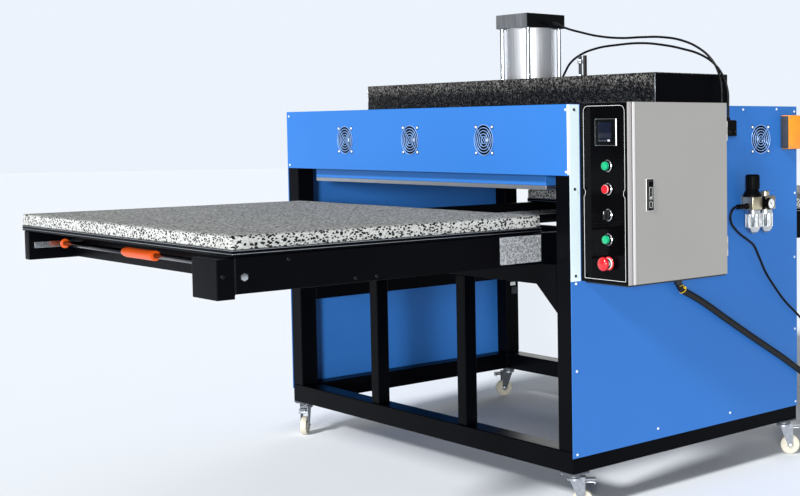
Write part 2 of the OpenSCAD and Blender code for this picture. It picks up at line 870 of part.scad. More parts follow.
module door_latch() {
    seat = box_right + bezel_t + gap;
    cam_depth = 15;
    cam_t = 3;
    cam_l = 45;
    cam_x = box_right - cam_depth;
    placed() color("#1a1c1e") {
        block([seat, latch_y - latch_w / 2 + paddle_margin, latch_z - latch_h / 2 + paddle_margin],
              [box_right + latch_t, latch_y + latch_w / 2 - paddle_margin,
               latch_z + latch_h / 2 - paddle_margin]);
        // spindle through the door, and the cam on its inner end
        translate([cam_x, latch_y, latch_z]) rotate([0, 90, 0])
            cylinder(d = spindle_d, h = seat - cam_x, $fn = fine);
        block([cam_x - cam_t, latch_y - spindle_d / 2, latch_z - spindle_d / 2],
              [cam_x, latch_y + spindle_d / 2, latch_z + cam_l]);
    }
}

module temperature_controller() {
    bezel_w = 142;
    bezel_h = 118;
    bezel_t = 10;
    color("#d9dbda") at_device(controller_z) translate([-bezel_w / 2, -bezel_h / 2, 0])
        cube([bezel_w, bezel_h, bezel_t]);
}

// A push button's cap, running in its collar with room to be pressed.
module push_cap() {
    cap_h = 22;
    translate([0, 0, button_travel + gap]) cylinder(d = button_d - 2 * gap, h = cap_h, $fn = fine);
}

module start_button() {
    color("#2fb58a") at_device(start_z) push_cap();
}

module stop_button() {
    color("#e0232e") at_device(stop_z) push_cap();
}

module reset_button() {
    color("#2fb58a") at_device(reset_z) push_cap();
}

module selector_knob() {
    color("#17191b") at_device(selector_z) {
        translate([0, 0, gap]) cylinder(d = button_d - 2 * gap, h = collar_t, $fn = fine);
        translate([-6, -19, collar_t]) cube([12, 38, 14]);
    }
}

module emergency_stop() {
    neck_h = 20;
    color("#e0232e") at_device(emergency_z) translate([0, 0, button_travel + gap]) {
        cylinder(d = neck_d, h = neck_h, $fn = fine);
        translate([0, 0, neck_h]) cylinder(d = stop_button_d, h = 24, $fn = fine);
    }
}

// ---- Air unit ----
module air_unit() {
    skirt_h = 34;
    ax = half_w + air_x;
    gauge_d = 58;
    placed() color("#23272b") {
        // two bodies in a row and the bracket behind them
        block([ax - air_w / 2, air_y - 42, air_z - air_body / 2],
              [ax + air_w / 2, air_y + air_pitch + 42, air_z + air_body / 2]);
        block([half_w, air_y + 10, air_z - 15], [ax - air_w / 2, air_y + air_pitch - 10, air_z + 15]);
        translate([ax, air_y, air_z + air_body / 2]) cylinder(d = knob_d - 6, h = skirt_h, $fn = fine);
        translate([ax, air_y + air_pitch, air_z + air_body / 2])
            cylinder(d = 44, h = 26, $fn = fine);
        translate([ax + air_w / 2, air_y + air_pitch, air_z]) rotate([0, 90, 0])
            cylinder(d = gauge_d, h = 26, $fn = fine);
        // inlet port
        translate(hose_start) rotate([-90, 0, 0]) cylinder(d = 24, h = port_l, $fn = fine);
    }
}

module filter_bowls() {
    placed() color("#cfe0ea") for (k = [0, 1])
        translate([half_w + air_x, air_y + k * air_pitch, air_z - air_body / 2 - bowl_h])
            cylinder(d = bowl_d, h = bowl_h, $fn = fine);
}

module regulator_knob() {
    skirt_h = 34;
    knob_h = 76;
    placed() color("#15181b")
        translate([half_w + air_x, air_y, air_z + air_body / 2 + skirt_h + gap])
            cylinder(d = knob_d, h = knob_h, $fn = fine);
}

module junction_box() {
    placed() color("#f6b661")
        block([half_w, half_d - 136, body_h - 223], [half_w + 52, half_d + 50, body_h - 47]);
}

// ---- Hoses and cords ----
module air_hoses() {
    placed() color("#202427") {
        cord(upper_route, air_hose_d);
        cord(lower_route, air_hose_d);
    }
}

module hose_fittings() {
    placed() color("#c9cccf") {
        translate([cap_w / 2, 0, upper_route[0][2]]) rotate([0, 90, 0])
            cylinder(d = fitting_d, h = upper_route[0][0] - cap_w / 2, $fn = fine);
        translate([cap_w / 2, 5, lower_route[0][2]]) rotate([0, 90, 0])
            cylinder(d = fitting_d, h = lower_route[0][0] - cap_w / 2, $fn = fine);
        translate(valve_at) cube(valve_size);
        for (r = [upper_route, lower_route]) let (e = r[len(r) - 1])
            translate([e[0], e[1], valve_top])
                cylinder(d = fitting_d - 2, h = fitting_h, $fn = fine);
    }
}

module supply_hose() {
    placed() color("#1c2124") {
        cord(hose_route, hose_d);
        cord(hose_tail, hose_d);
    }
}

module supply_coil() {
    placed() color("#1c2124") translate(hose_coil_at)
        rotate_extrude($fn = fine) translate([hose_turn - 1.5 * hose_d, 0])
            square([3 * hose_d, 2 * hose_d]);
}

module hose_coupler() {
    placed() color("#c8a85a") translate(coupler_at) rotate([0, 90, 0])
        cylinder(d = 24, h = coupler_l, $fn = fine);
}

module power_cable() {
    placed() color("#111315") {
        cord(cable_route, cable_d, 10);
        cord(cable_tail, cable_d, 10);
    }
}

module power_coil() {
    placed() color("#111315") translate(coil_at)
        rotate_extrude($fn = fine) translate([coil_turn - cable_d, 0])
            square(2 * cable_d);
}

module power_plug() {
    placed() color("#d5342b") translate(plug_at) rotate([0, -90, 0]) {
        cylinder(d = plug_d - 20, h = 50, $fn = fine);
        translate([0, 0, 50]) cylinder(d = plug_d, h = plug_l - 50, $fn = fine);
    }
}

// ---- Casters ----
caster_at = [
    [-frame_w + tube / 2, -frame_d + tube / 2], [frame_w - tube / 2, -frame_d + tube / 2],
    [-frame_w + tube / 2, frame_d - tube / 2], [frame_w - tube / 2, frame_d - tube / 2]
];
caster_turn = [-45, 45, 250, 45];   // direction of each trail
head_d = 74;
head_t = 14;

module caster_plates() {
    placed() color("#b9bdc0") for (c = caster_at)
        translate([c[0] - plate_w / 2, c[1] - plate_w / 2, caster_h - plate_t])
            cube([plate_w, plate_w, plate_t]);
}

module caster_fork(i) {
    cheek_t = 4;
    head_z = caster_h - plate_t - gap - head_t;
    cheek_y = wheel_w / 2 + 3;
    placed() color("#c3c7ca") translate([caster_at[i][0], caster_at[i][1], 0])
        rotate(caster_turn[i]) {
            translate([0, 0, head_z]) cylinder(d = head_d, h = head_t, $fn = fine);
            block([-20, -cheek_y - cheek_t, head_z - 10], [caster_trail + 16, cheek_y + cheek_t, head_z]);
            for (side = [-1, 1])
                translate([0, side * (cheek_y + cheek_t / 2) + cheek_t / 2, 0]) rotate([90, 0, 0])
                    linear_extrude(cheek_t) {
                        polygon([[-20, head_z - 8], [caster_trail + 16, head_z - 8],
                                 [caster_trail + 14, wheel_d / 2], [caster_trail - 14, wheel_d / 2]]);
                        translate([caster_trail, wheel_d / 2]) circle(r = 14, $fn = fine);
                    }
            translate([caster_trail, cheek_y + cheek_t + 4, wheel_d / 2]) rotate([90, 0, 0])
                cylinder(d = axle_d, h = 2 * (cheek_y + cheek_t + 4), $fn = fine);
            // brake pedal behind the wheel
            block([caster_trail + 16, -18, head_z - 16], [caster_trail + 62, 18, head_z - 8]);
        }
}

module caster_wheel(i) {
    hub_w = wheel_w + 4;
    placed() color("#e8e4d6") translate([caster_at[i][0], caster_at[i][1], wheel_d / 2])
        rotate(caster_turn[i]) translate([caster_trail, 0, 0]) rotate([90, 0, 0]) difference() {
            union() {
                cylinder(d = wheel_d, h = wheel_w, center = true, $fn = fine);
                cylinder(d = 36, h = hub_w, center = true, $fn = fine);
            }
            cylinder(r = axle_d / 2 + fit, h = hub_w + 2 * nib, center = true, $fn = fine);
        }
}

base_frame();
posts();
cross_beams();
top_frame();
beam_cover();
end_panels();
side_panels();
slide_rails();
guide_tracks();
cylinder_caps();
cylinder_barrel();
tie_rods();
piston_rod();
heater_plate();
platen_cover();
guide_rods();
front_table();
front_pad();
front_handle();
front_grip();
rear_table();
rear_pad();
rear_handle();
rear_grip();
fan_guards();
left_fan_rotor();
middle_fan_rotor();
right_fan_rotor();
side_fan_rotor();
box_shell();
control_panel();
box_door();
door_latch();
temperature_controller();
start_button();
stop_button();
selector_knob();
reset_button();
emergency_stop();
air_unit();
filter_bowls();
regulator_knob();
junction_box();
air_hoses();
supply_hose();
supply_coil();
hose_coupler();
power_cable();
power_coil();
power_plug();
hose_fittings();
caster_plates();
caster_fork(0);  // caster_fork_fl
caster_fork(1);  // caster_fork_fr
caster_fork(2);  // caster_fork_rl
caster_fork(3);  // caster_fork_rr
caster_wheel(0);  // caster_wheel_fl
caster_wheel(1);  // caster_wheel_fr
caster_wheel(2);  // caster_wheel_rl
caster_wheel(3);  // caster_wheel_rr
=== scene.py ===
# Double-station heat transfer press: the looks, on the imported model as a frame.
# Shapes are drawn in millimetres about the middle of the press, as the part is
# built, and every finished mesh is brought into the frame in metres.
from math import copysign, cos, pi, radians, sin, tau
import bmesh
import bpy
from mathutils import Matrix, Vector, noise


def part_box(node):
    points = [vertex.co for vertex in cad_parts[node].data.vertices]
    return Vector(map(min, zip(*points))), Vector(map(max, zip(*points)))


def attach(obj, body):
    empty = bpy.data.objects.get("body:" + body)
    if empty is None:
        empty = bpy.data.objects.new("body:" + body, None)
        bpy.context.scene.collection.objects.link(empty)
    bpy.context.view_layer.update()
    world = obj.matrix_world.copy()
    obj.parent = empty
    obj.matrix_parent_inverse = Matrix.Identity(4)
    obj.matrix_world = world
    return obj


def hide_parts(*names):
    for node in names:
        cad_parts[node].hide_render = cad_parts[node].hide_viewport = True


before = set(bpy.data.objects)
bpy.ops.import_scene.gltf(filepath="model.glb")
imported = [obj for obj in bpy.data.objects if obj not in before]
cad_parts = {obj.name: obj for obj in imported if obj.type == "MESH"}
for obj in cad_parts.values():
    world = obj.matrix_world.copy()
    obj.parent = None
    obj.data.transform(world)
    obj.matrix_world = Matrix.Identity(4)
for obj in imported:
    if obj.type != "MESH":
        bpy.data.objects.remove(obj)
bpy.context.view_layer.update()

side_low, side_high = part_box("side_panels")
MIDDLE = (side_low.x + side_high.x) / 2
TO_FRAME = Matrix.Translation((MIDDLE, 0, 0)) @ Matrix.Scale(0.001, 4)

X, Y, Z = 0, 1, 2
LEFT, RIGHT, FRONT, REAR, DOWN, UP = ((-1, 0, 0), (1, 0, 0), (0, -1, 0), (0, 1, 0), (0, 0, -1),
                                      (0, 0, 1))
PANEL_X, PANEL_Y = 1225, 800  # outer faces of the side panels and of the end panels
POST_INSIDE = 1122  # inner faces of the corner posts
BEAM_X = 1055  # outer faces of the slide beams
DRAWER_Y = 1575  # middle of a drawer that is out
TABLE_X, TABLE_Y = 1050, 750  # half the width and half the depth of a drawer's table
BAR_Z = 1214  # height of the drawers' bars


def at(x, y, z):
    """A point given in millimetres about the middle of the press."""
    return TO_FRAME @ Vector((x, y, z))


def put(name, data):
    """A new object in the scene that holds the data."""
    made = bpy.data.objects.new(name, data)
    bpy.context.collection.objects.link(made)
    return made


# ---- Camera ----
def place_camera():
    """The camera, turned by angles in radians, with its lens in millimetres."""
    yaw, pitch, roll = -0.77580, 0.0560, -0.0077
    forward = Vector((sin(yaw) * cos(pitch), cos(yaw) * cos(pitch),
                      -sin(pitch)))
    level = Vector((cos(yaw), -sin(yaw), 0))
    above = level.cross(forward)
    right = cos(roll) * level + sin(roll) * above
    up = cos(roll) * above - sin(roll) * level
    data = bpy.data.cameras.new("camera")
    data.sensor_width = 36
    data.lens = 59.54
    data.shift_x = -0.3368
    data.shift_y = -0.0555
    data.clip_end = 200
    camera = put("camera", data)
    turn = Matrix((right, up, -forward)).transposed().to_4x4()
    camera.matrix_world = Matrix.Translation(at(5665.4, -4694.1, 1743.9)) @ turn
    bpy.context.scene.camera = camera


place_camera()


# ---- Materials ----
def hue(code):
    """A hex sRGB colour as the linear values that a shader takes."""
    parts = [int(code[i:i + 2], 16) / 255 for i in (1, 3, 5)]
    return [p / 12.92 if p <= 0.04045 else ((p + 0.055) / 1.055) ** 2.4 for p in parts] + [1]


def per_metre(size):
    """A pattern's scale from the size in millimetres of one of its features."""
    return 1000 / size


def join(tree, source, entry):
    """Links a socket, or a node's first output in use, into an entry."""
    if isinstance(source, bpy.types.Node):
        source = next(output for output in source.outputs if output.enabled)
    tree.links.new(source, entry)


def add(tree, kind, values=None, links=None, stops=(), **settings):
    """One shader node, with its settings, its sockets' values, what is linked into them and a
    colour ramp's stops, each a position and a hex value."""
    made = tree.nodes.new("ShaderNode" + kind)
    for setting, value in settings.items():
        setattr(made, setting, value)
    for socket, value in (values or {}).items():
        made.inputs[socket].default_value = value
    for socket, source in (links or {}).items():
        join(tree, source, made.inputs[socket])
    for k, (position, code) in enumerate(stops):
        made.color_ramp.elements[k].position = position
        made.color_ramp.elements[k].color = hue(code)
    return made


def feed(tree, shader, **sources):
    """Links other nodes' outputs into the shader's sockets."""
    for socket, source in sources.items():
        join(tree, source, shader.inputs[socket.replace("_", " ")])


def material(name, **sockets):
    """A named material with the shader's sockets set; Base_Color is a hex value."""
    made = bpy.data.materials.new(name)
    made.use_nodes = True
    tree = made.node_tree
    shader = tree.nodes["Principled BSDF"]
    for socket, value in sockets.items():
        given = hue(value) if isinstance(value, str) else value
        shader.inputs[socket.replace("_", " ")].default_value = given
    return made, tree, shader


def surface(name, light, dark, patch, rough, spread, grain, depth, **sockets):
    """A finish whose colour drifts between two hex values in patches, whose gloss varies about
    rough by spread, and whose skin has a bump of the given grain and depth in millimetres."""
    made, tree, shader = material(name, **sockets)
    place = add(tree, "TexCoord").outputs["Object"]
    cloud = add(tree, "TexNoise", {"Scale": per_metre(patch), "Detail": 3.0}, {"Vector": place})
    tint = add(tree, "Mix", {6: hue(dark), 7: hue(light)}, {0: cloud}, data_type="RGBA")
    smear = add(tree, "TexNoise", {"Scale": per_metre(patch / 3), "Detail": 4.0},
                {"Vector": place})
    gloss = add(tree, "MapRange", {"To Min": rough - spread, "To Max": rough + spread},
                {"Value": smear})
    skin = add(tree, "TexNoise", {"Scale": per_metre(grain), "Detail": 2.0}, {"Vector": place})
    bump = add(tree, "Bump", {"Strength": 0.6, "Distance": depth / 1000}, {"Height": skin})
    feed(tree, shader, Base_Color=tint, Roughness=gloss, Normal=bump)
    return made


def clouded(name, dark, light, feature, detail, low, high, stretch=1, **sockets):
    """A smooth finish whose colour and gloss follow the same noise, with features of the given
    millimetres, drawn out along Z where stretch is small."""
    made, tree, shader = material(name, **sockets)
    place = add(tree, "TexCoord").outputs["Object"]
    if stretch != 1:
        place = add(tree, "Mapping", {"Scale": (1, 1, stretch)}, {"Vector": place})
    cloud = add(tree, "TexNoise", {"Scale": per_metre(feature), "Detail": detail},
                {"Vector": place})
    tint = add(tree, "Mix", {6: hue(dark), 7: hue(light)}, {0: cloud}, data_type="RGBA")
    gloss = add(tree, "MapRange", {"To Min": low, "To Max": high}, {"Value": cloud})
    feed(tree, shader, Base_Color=tint, Roughness=gloss)
    return made


def dull_top(made, node, level):
    """Dust takes the shine off the node's flat top: the gloss level falls to nothing in the
    last few millimetres below it."""
    tree = made.node_tree
    shader = next(part for part in tree.nodes if part.type == "BSDF_PRINCIPLED")
    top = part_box(node)[1].z
    place = add(tree, "TexCoord").outputs["Object"]
    height = add(tree, "SeparateXYZ", links={"Vector": place}).outputs["Z"]
    shine = add(tree, "MapRange", {"From Min": top - 0.004, "From Max": top - 0.0025,
                                   "To Min": level, "To Max": 0.0}, {"Value": height})
    feed(tree, shader, Specular_IOR_Level=shine)


# Blue powder-coated sheet steel: smooth and semi-gloss, with a faint orange peel.
blue_steel = surface("blue_powder_coated_steel", "#2e6db8", "#2765ae", 900, 0.45, 0.05, 6, 0.05)
dull_top(blue_steel, "end_panels", 0.3)
# Black enamelled tube: brushed-on gloss paint that mirrors the floor softly.
black_enamel = surface("black_enamelled_steel", "#05060a", "#020204", 300, 0.3, 0.07, 9, 0.06,
                       Specular_IOR_Level=0.04)
# Black gloss paint on the slide beams and the drawer tables.
black_gloss = surface("black_gloss_painted_steel", "#05060a", "#020204", 260, 0.36, 0.06, 12,
                      0.05, Specular_IOR_Level=0.05)
# Light grey powder coat on the door, and smoother enamel on the shell: flat, even greys. A lighter
# copy of the shell's enamel is a painted highlight for the door's outer fold.
grey_coat = surface("light_grey_powder_coated_steel", "#979591", "#908e8b", 500, 0.5, 0.05, 4,
                    0.04, Specular_IOR_Level=0.3)
pale_coat = surface("pale_grey_enamelled_steel", "#aaa6a5", "#a09c9b", 300, 0.38, 0.05, 5, 0.03)
# painted highlight: the shell's pale enamel painted lighter for the door's outer fold
fold_painted_highlight = surface("pale_grey_enamel_painted_highlight", "#d2cfce", "#c8c4c3", 300, 0.38, 0.05, 5, 0.03)
# Painted highlight: a cool near-white sheet over the panels' corner beside the box, in place of
# the light that the blue panel reflects there.
painted_highlight_white = surface("cool_white_painted_highlight", "#dcecef", "#cfe1e5", 200, 0.35, 0.05, 5, 0.03)
# Milled aluminium plate: fine streaks that spread the highlight.
milled_aluminium = surface("milled_aluminium_plate", "#d3d6d9", "#bfc3c7", 60, 0.36, 0.08, 3,
                           0.03, Metallic=1.0)
# Zinc plate: a cloudy bluish shine when new, and a dull uneven grey once weathered.
bright_zinc = surface("bright_zinc_plated_screw", "#e6ebf1", "#ccd4dd", 12, 0.3, 0.08, 4, 0.03,
                      Metallic=0.3)
zinc = surface("zinc_plated_steel", "#c9cdd1", "#9aa1a8", 18, 0.32, 0.1, 5, 0.06, Metallic=1.0)
dark_zinc = surface("weathered_zinc_plate", "#7d8187", "#55595f", 14, 0.42, 0.1, 5, 0.08,
                    Metallic=0.8)
# The fan guards' wire: bright zinc, tinted blue as a painted reflection of the blue sheet around
# it.
wire_painted_blue_reflection = surface("zinc_wire_painted_blue_reflection", "#9fc1f2", "#6f9ad8", 12, 0.3, 0.08, 4, 0.03,
                      Metallic=0.3)
# Chrome: a clear bright mirror.
chrome = surface("chromed_steel_tube", "#eef0f2", "#dfe2e5", 90, 0.1, 0.04, 20, 0.01, Metallic=1.0)
# Black chrome on the drawer bars: a dark mirror that draws the lamp as one thin line.
black_chrome = surface("black_chromed_steel_tube", "#34363a", "#26282b", 120, 0.14, 0.04, 20, 0.01,
                       Metallic=1.0)
# Ground rod and oil-blackened steel: a satin metal shine, and a dark sheen that hides the metal.
ground_steel = surface("ground_steel_rod", "#dfe3e6", "#c6cbd0", 40, 0.2, 0.06, 3, 0.02,
                       Metallic=1.0)
blackened_steel = surface("blackened_steel", "#101113", "#060708", 30, 0.4, 0.08, 4, 0.03,
                          Metallic=0.1, Specular_IOR_Level=0.2)
# Nickel plate and turned brass: a soft warm mirror, a little clouded by handling.
nickel = surface("nickel_plated_brass", "#d8dadb", "#b9bcbe", 20, 0.22, 0.06, 4, 0.02,
                 Metallic=1.0)
brass = surface("turned_brass", "#d1a84f", "#a9812f", 15, 0.25, 0.07, 3, 0.02, Metallic=1.0)
# Moulded plastics: an even colour with the soft sheen of a polished mould.
black_plastic = surface("moulded_black_nylon", "#141619", "#0b0c0e", 25, 0.42, 0.06, 1.5, 0.04)
matt_black = surface("moulded_matt_black_abs", "#08090b", "#040405", 25, 0.5, 0.06, 1.5, 0.04,
                     Specular_IOR_Level=0.06)
grey_plastic = surface("moulded_dark_grey_abs", "#34363c", "#27292e", 30, 0.5, 0.06, 2, 0.04)
white_plastic = surface("moulded_white_abs", "#eef0ee", "#dfe2e0", 40, 0.38, 0.05, 2, 0.03)
orange_plastic = surface("moulded_orange_abs", "#ee9426", "#e0841b", 60, 0.4, 0.05, 2, 0.03)
# Dipped vinyl grip: saturated and smooth, with shallow dimples.
orange_foam = surface("orange_vinyl_grip", "#f5661f", "#e9530f", 30, 0.38, 0.06, 4, 0.08)
# Push-button acrylic: a deep colour under a clear skin.
green_plastic = surface("green_push_button_acrylic", "#12a874", "#0b9163", 12, 0.22, 0.04, 3,
                        0.01, Coat_Weight=0.5)
red_plastic = surface("red_push_button_acrylic", "#e11b25", "#c4121c", 12, 0.25, 0.04, 3, 0.01,
                      Coat_Weight=0.5)
# Cast and moulded nylon: waxy, with the cast wheel soiled in patches.
cream_nylon = surface("cast_cream_nylon_wheel", "#cfcaba", "#a9a493", 16, 0.45, 0.08, 3, 0.08)
yellow_nylon = surface("yellow_nylon_cable_tie", "#e9c531", "#cfa91f", 12, 0.4, 0.05, 2, 0.02)
# Black rubber hose and cable sheath: dull, with a slightly wrinkled skin.
hose_rubber = surface("black_polyurethane_hose", "#0f1113", "#07080a", 20, 0.3, 0.05, 3, 0.02,
                      Specular_IOR_Level=0.12)
cable_rubber = surface("black_rubber_cable_sheath", "#0d0e10", "#060708", 40, 0.48, 0.08, 2.5,
                       0.12, Specular_IOR_Level=0.3)
# Champagne anodised aluminium: a warm satin metal with a fine blasted grain.
champagne = surface("champagne_anodised_aluminium", "#d9cdb2", "#bfb294", 14, 0.3, 0.06, 3,
                    0.02, Metallic=0.9)


def wrinkled_black():
    """Wrinkle-finish black powder coat: raised worms 3 to 5 mm wide whose backs are painted
    lighter, a painted glint. Real wrinkles are about 1 mm wide, and these are drawn coarser so
    that they show. The upper half of the cover has a painted highlight: the worms' backs are
    painted paler there."""
    made, tree, shader = material("wrinkle_finish_black_powder_coat")
    place = add(tree, "TexCoord").outputs["Object"]
    worms = add(tree, "TexNoise", {"Scale": per_metre(9), "Detail": 3.0, "Distortion": 1.2},
                {"Vector": place})
    bump = add(tree, "Bump", {"Strength": 1.0, "Distance": 0.004}, {"Height": worms})
    # painted glint: the raised backs of the worms are coloured lighter than the black
    painted_glint_backs = add(tree, "ValToRGB", links={"Fac": worms},
                stops=[(0.54, "#040404"), (0.66, "#414140")])
    # painted highlight: still paler backs for the upper half of the cover
    painted_highlight_backs = add(tree, "ValToRGB", links={"Fac": worms},
                 stops=[(0.49, "#080808"), (0.66, "#83807a")])
    foot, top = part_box("beam_cover")
    height = add(tree, "SeparateXYZ", links={"Vector": place}).outputs["Z"]
    # mask for the painted highlight, rising from the cover's middle height to near its top
    upper = add(tree, "MapRange", {"From Min": foot.z * 0.5 + top.z * 0.5,
                                   "From Max": foot.z * 0.1 + top.z * 0.9}, {"Value": height})
    glint_and_highlight = add(tree, "Mix", links={0: upper, 6: painted_glint_backs, 7: painted_highlight_backs}, data_type="RGBA")
    gloss = add(tree, "MapRange", {"To Min": 0.3, "To Max": 0.55}, {"Value": worms})
    feed(tree, shader, Base_Color=glint_and_highlight, Roughness=gloss, Normal=bump)
    dull_top(made, "beam_cover", 0.12)
    return made


def die_cast():
    """Die-cast aluminium cap with upright flow marks, sand-blasted to a dull grey; its +X face is
    painted near black, a painted shade."""
    made, tree, shader = material("die_cast_aluminium", Metallic=0.75)
    place = add(tree, "TexCoord").outputs["Object"]
    stretch = add(tree, "Mapping", {"Scale": (1, 1, 0.08)}, {"Vector": place})
    marks = add(tree, "TexNoise", {"Scale": per_metre(26), "Detail": 5.0, "Roughness": 0.75},
                {"Vector": stretch})
    tint = add(tree, "Mix", {6: hue("#1f2123"), 7: hue("#a6a9ac")}, {0: marks}, data_type="RGBA")
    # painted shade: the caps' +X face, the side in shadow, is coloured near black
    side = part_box("cylinder_caps")[1].x
    across = add(tree, "SeparateXYZ", links={"Vector": place}).outputs["X"]
    shaded_side_mask = add(tree, "MapRange", {"From Min": side - 0.005, "From Max": side - 0.002},
                    {"Value": across})
    cast = add(tree, "Mix", {7: hue("#08090b")}, {0: shaded_side_mask, 6: tint}, data_type="RGBA")
    grit = add(tree, "TexNoise", {"Scale": per_metre(2.5)}, {"Vector": place})
    gloss = add(tree, "MapRange", {"To Min": 0.42, "To Max": 0.6}, {"Value": grit})
    bump = add(tree, "Bump", {"Strength": 0.5, "Distance": 0.0006}, {"Height": grit})
    feed(tree, shader, Base_Color=cast, Roughness=gloss, Normal=bump)
    return made


def fleck_felt():
    """Rebonded fibre felt: near-white matted fibre with chopped black flecks 6 to 14 mm long.
    The top skin, 55 mm above the table, is painted a patchy grey, a painted shade on its upward
    face."""
    made, tree, shader = material("rebonded_fibre_felt", Roughness=0.95, Sheen_Weight=0.1,
                                  Sheen_Roughness=0.6, Specular_IOR_Level=0.1)
    place = add(tree, "TexCoord").outputs["Object"]
    drift = add(tree, "TexNoise", {"Scale": per_metre(14), "Detail": 2.0}, {"Vector": place})
    shove = add(tree, "VectorMath", {"Scale": 0.012}, {0: drift.outputs["Color"]},
                operation="SCALE")
    torn = add(tree, "VectorMath", links={0: place, 1: shove}, operation="ADD")
    drawn = add(tree, "Mapping", {"Scale": (0.62, 0.62, 1.0)}, {"Vector": torn})
    chips = add(tree, "TexVoronoi", {"Scale": per_metre(9.5)}, {"Vector": drawn})
    sized = add(tree, "Math", {1: 0.3}, {0: chips.outputs["Color"], 2: chips.outputs["Distance"]},
                operation="MULTIPLY_ADD")
    black = add(tree, "ValToRGB", links={"Fac": sized.outputs["Value"]},
                stops=[(0.55, "#0c0d0e"), (0.6, "#ffffff")])
    fibre = add(tree, "TexNoise", {"Scale": per_metre(9), "Detail": 3.0}, {"Vector": place})
    pale = add(tree, "ValToRGB", links={"Fac": fibre},
               stops=[(0.38, "#a5a6a3"), (0.58, "#bcbdba")])
    both = add(tree, "Mix", {0: 1.0}, {6: pale, 7: black}, data_type="RGBA", blend_type="MULTIPLY")
    height = add(tree, "SeparateXYZ", links={"Vector": place}).outputs["Z"]
    surface_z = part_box("front_pad")[1].z
    # mask for the painted shade: the last few millimetres below the pad's top
    skin = add(tree, "MapRange", {"From Min": surface_z - 0.009, "From Max": surface_z - 0.003},
               {"Value": height})
    top_shade_patches = add(tree, "TexNoise", {"Scale": per_metre(70), "Detail": 4.0}, {"Vector": place})
    painted_top_shade = add(tree, "Mix", {6: hue("#a9aaa9"), 7: hue("#d3d4d2")}, {0: top_shade_patches}, data_type="RGBA")
    # the painted shade is multiplied into the top skin
    top = add(tree, "Mix", links={0: skin, 6: both, 7: painted_top_shade}, data_type="RGBA",
              blend_type="MULTIPLY")
    bump = add(tree, "Bump", {"Strength": 0.6, "Distance": 0.002}, {"Height": fibre})
    feed(tree, shader, Base_Color=top, Normal=bump)
    return made


def etched_plate():
    """Etched aluminium plate, left bare: a mottled grey field, sand-blasted."""
    made, tree, shader = material("etched_aluminium_plate", Metallic=0.5)
    place = add(tree, "TexCoord").outputs["Object"]
    mottle = add(tree, "TexNoise", {"Scale": per_metre(7), "Detail": 4.0, "Roughness": 0.7},
                 {"Vector": place})
    tone = add(tree, "ValToRGB", links={"Fac": mottle},
               stops=[(0.4, "#6d7073"), (0.62, "#d3d6d8")])
    gloss = add(tree, "MapRange", {"To Min": 0.4, "To Max": 0.65}, {"Value": mottle})
    feed(tree, shader, Base_Color=tone, Roughness=gloss)
    return made


wrinkle_black = wrinkled_black()
cast_aluminium = die_cast()
felt = fleck_felt()
bare_plate = etched_plate()
# Honed and polished aluminium tube: bright, with fine streaks along its length.
barrel_aluminium = clouded("polished_aluminium_tube", "#b4b6b9", "#dadbdd", 7, 3.0, 0.42, 0.52,
                           stretch=0.03, Metallic=1.0, Anisotropic=0.3)
# Screen-printed acrylic front: deep black with a mirror gloss and fine wipe marks.
acrylic = clouded("gloss_black_acrylic", "#020203", "#060608", 120, 5.0, 0.04, 0.1,
                  Specular_IOR_Level=0.05)
# Clear polycarbonate bowl, a little cloudy with age.
clear_bowl = clouded("clear_polycarbonate", "#5d6a70", "#8d999d", 18, 3.0, 0.08, 0.22, IOR=1.58,
                     Transmission_Weight=0.5)
# Dark blue display window: faint patches under smooth glass.
display = clouded("dark_blue_display_glass", "#060912", "#10172b", 22, 2.0, 0.06, 0.14,
                  Specular_IOR_Level=0.25)


# ---- Shapes, drawn in a bmesh in millimetres ----
def soften(bm, edges, width, steps):
    """Rounds edges over."""
    bmesh.ops.bevel(bm, geom=edges, offset=width, offset_type="OFFSET", affect="EDGES",
                    segments=steps, profile=0.5, material=-1, clamp_overlap=True)


def slab(bm, low, high, edge=0, steps=2):
    """A block between two corners, with its edges rounded over."""
    low, high = Vector(low), Vector(high)
    made = bmesh.ops.create_cube(bm, size=1, matrix=(
        Matrix.Translation((low + high) / 2) @ Matrix.Diagonal((*(high - low), 1))))
    if edge:
        soften(bm, list({e for v in made["verts"] for e in v.link_edges}), edge, steps)


def border(bm, low, high, width, first, second, edge, steps=2):
    """Four blocks along the sides of the block between two corners. The pair across the axis
    first takes the corners, and the pair across the axis second stands between them."""
    low, high = Vector(low), Vector(high)
    for axis in (first, second):
        near, far = low.copy(), high.copy()
        near[axis], far[axis] = high[axis] - width, low[axis] + width
        slab(bm, low, far, edge, steps)
        slab(bm, near, high, edge, steps)
        low[axis] += width
        high[axis] -= width


def rod(bm, start, end, radius, sides=24, edge=0):
    """A round rod from one point to another, with its end rims rounded."""
    start, end = Vector(start), Vector(end)
    turn = (end - start).to_track_quat("Z", "Y").to_matrix().to_4x4()
    made = bmesh.ops.create_cone(bm, cap_ends=True, segments=sides, radius1=radius,
                                 radius2=radius, depth=(end - start).length,
                                 matrix=Matrix.Translation((start + end) / 2) @ turn)
    if edge:
        rims = {e for v in made["verts"] for e in v.link_edges
                if any(len(f.verts) > 4 for f in e.link_faces)}
        soften(bm, list(rims), edge, 2)


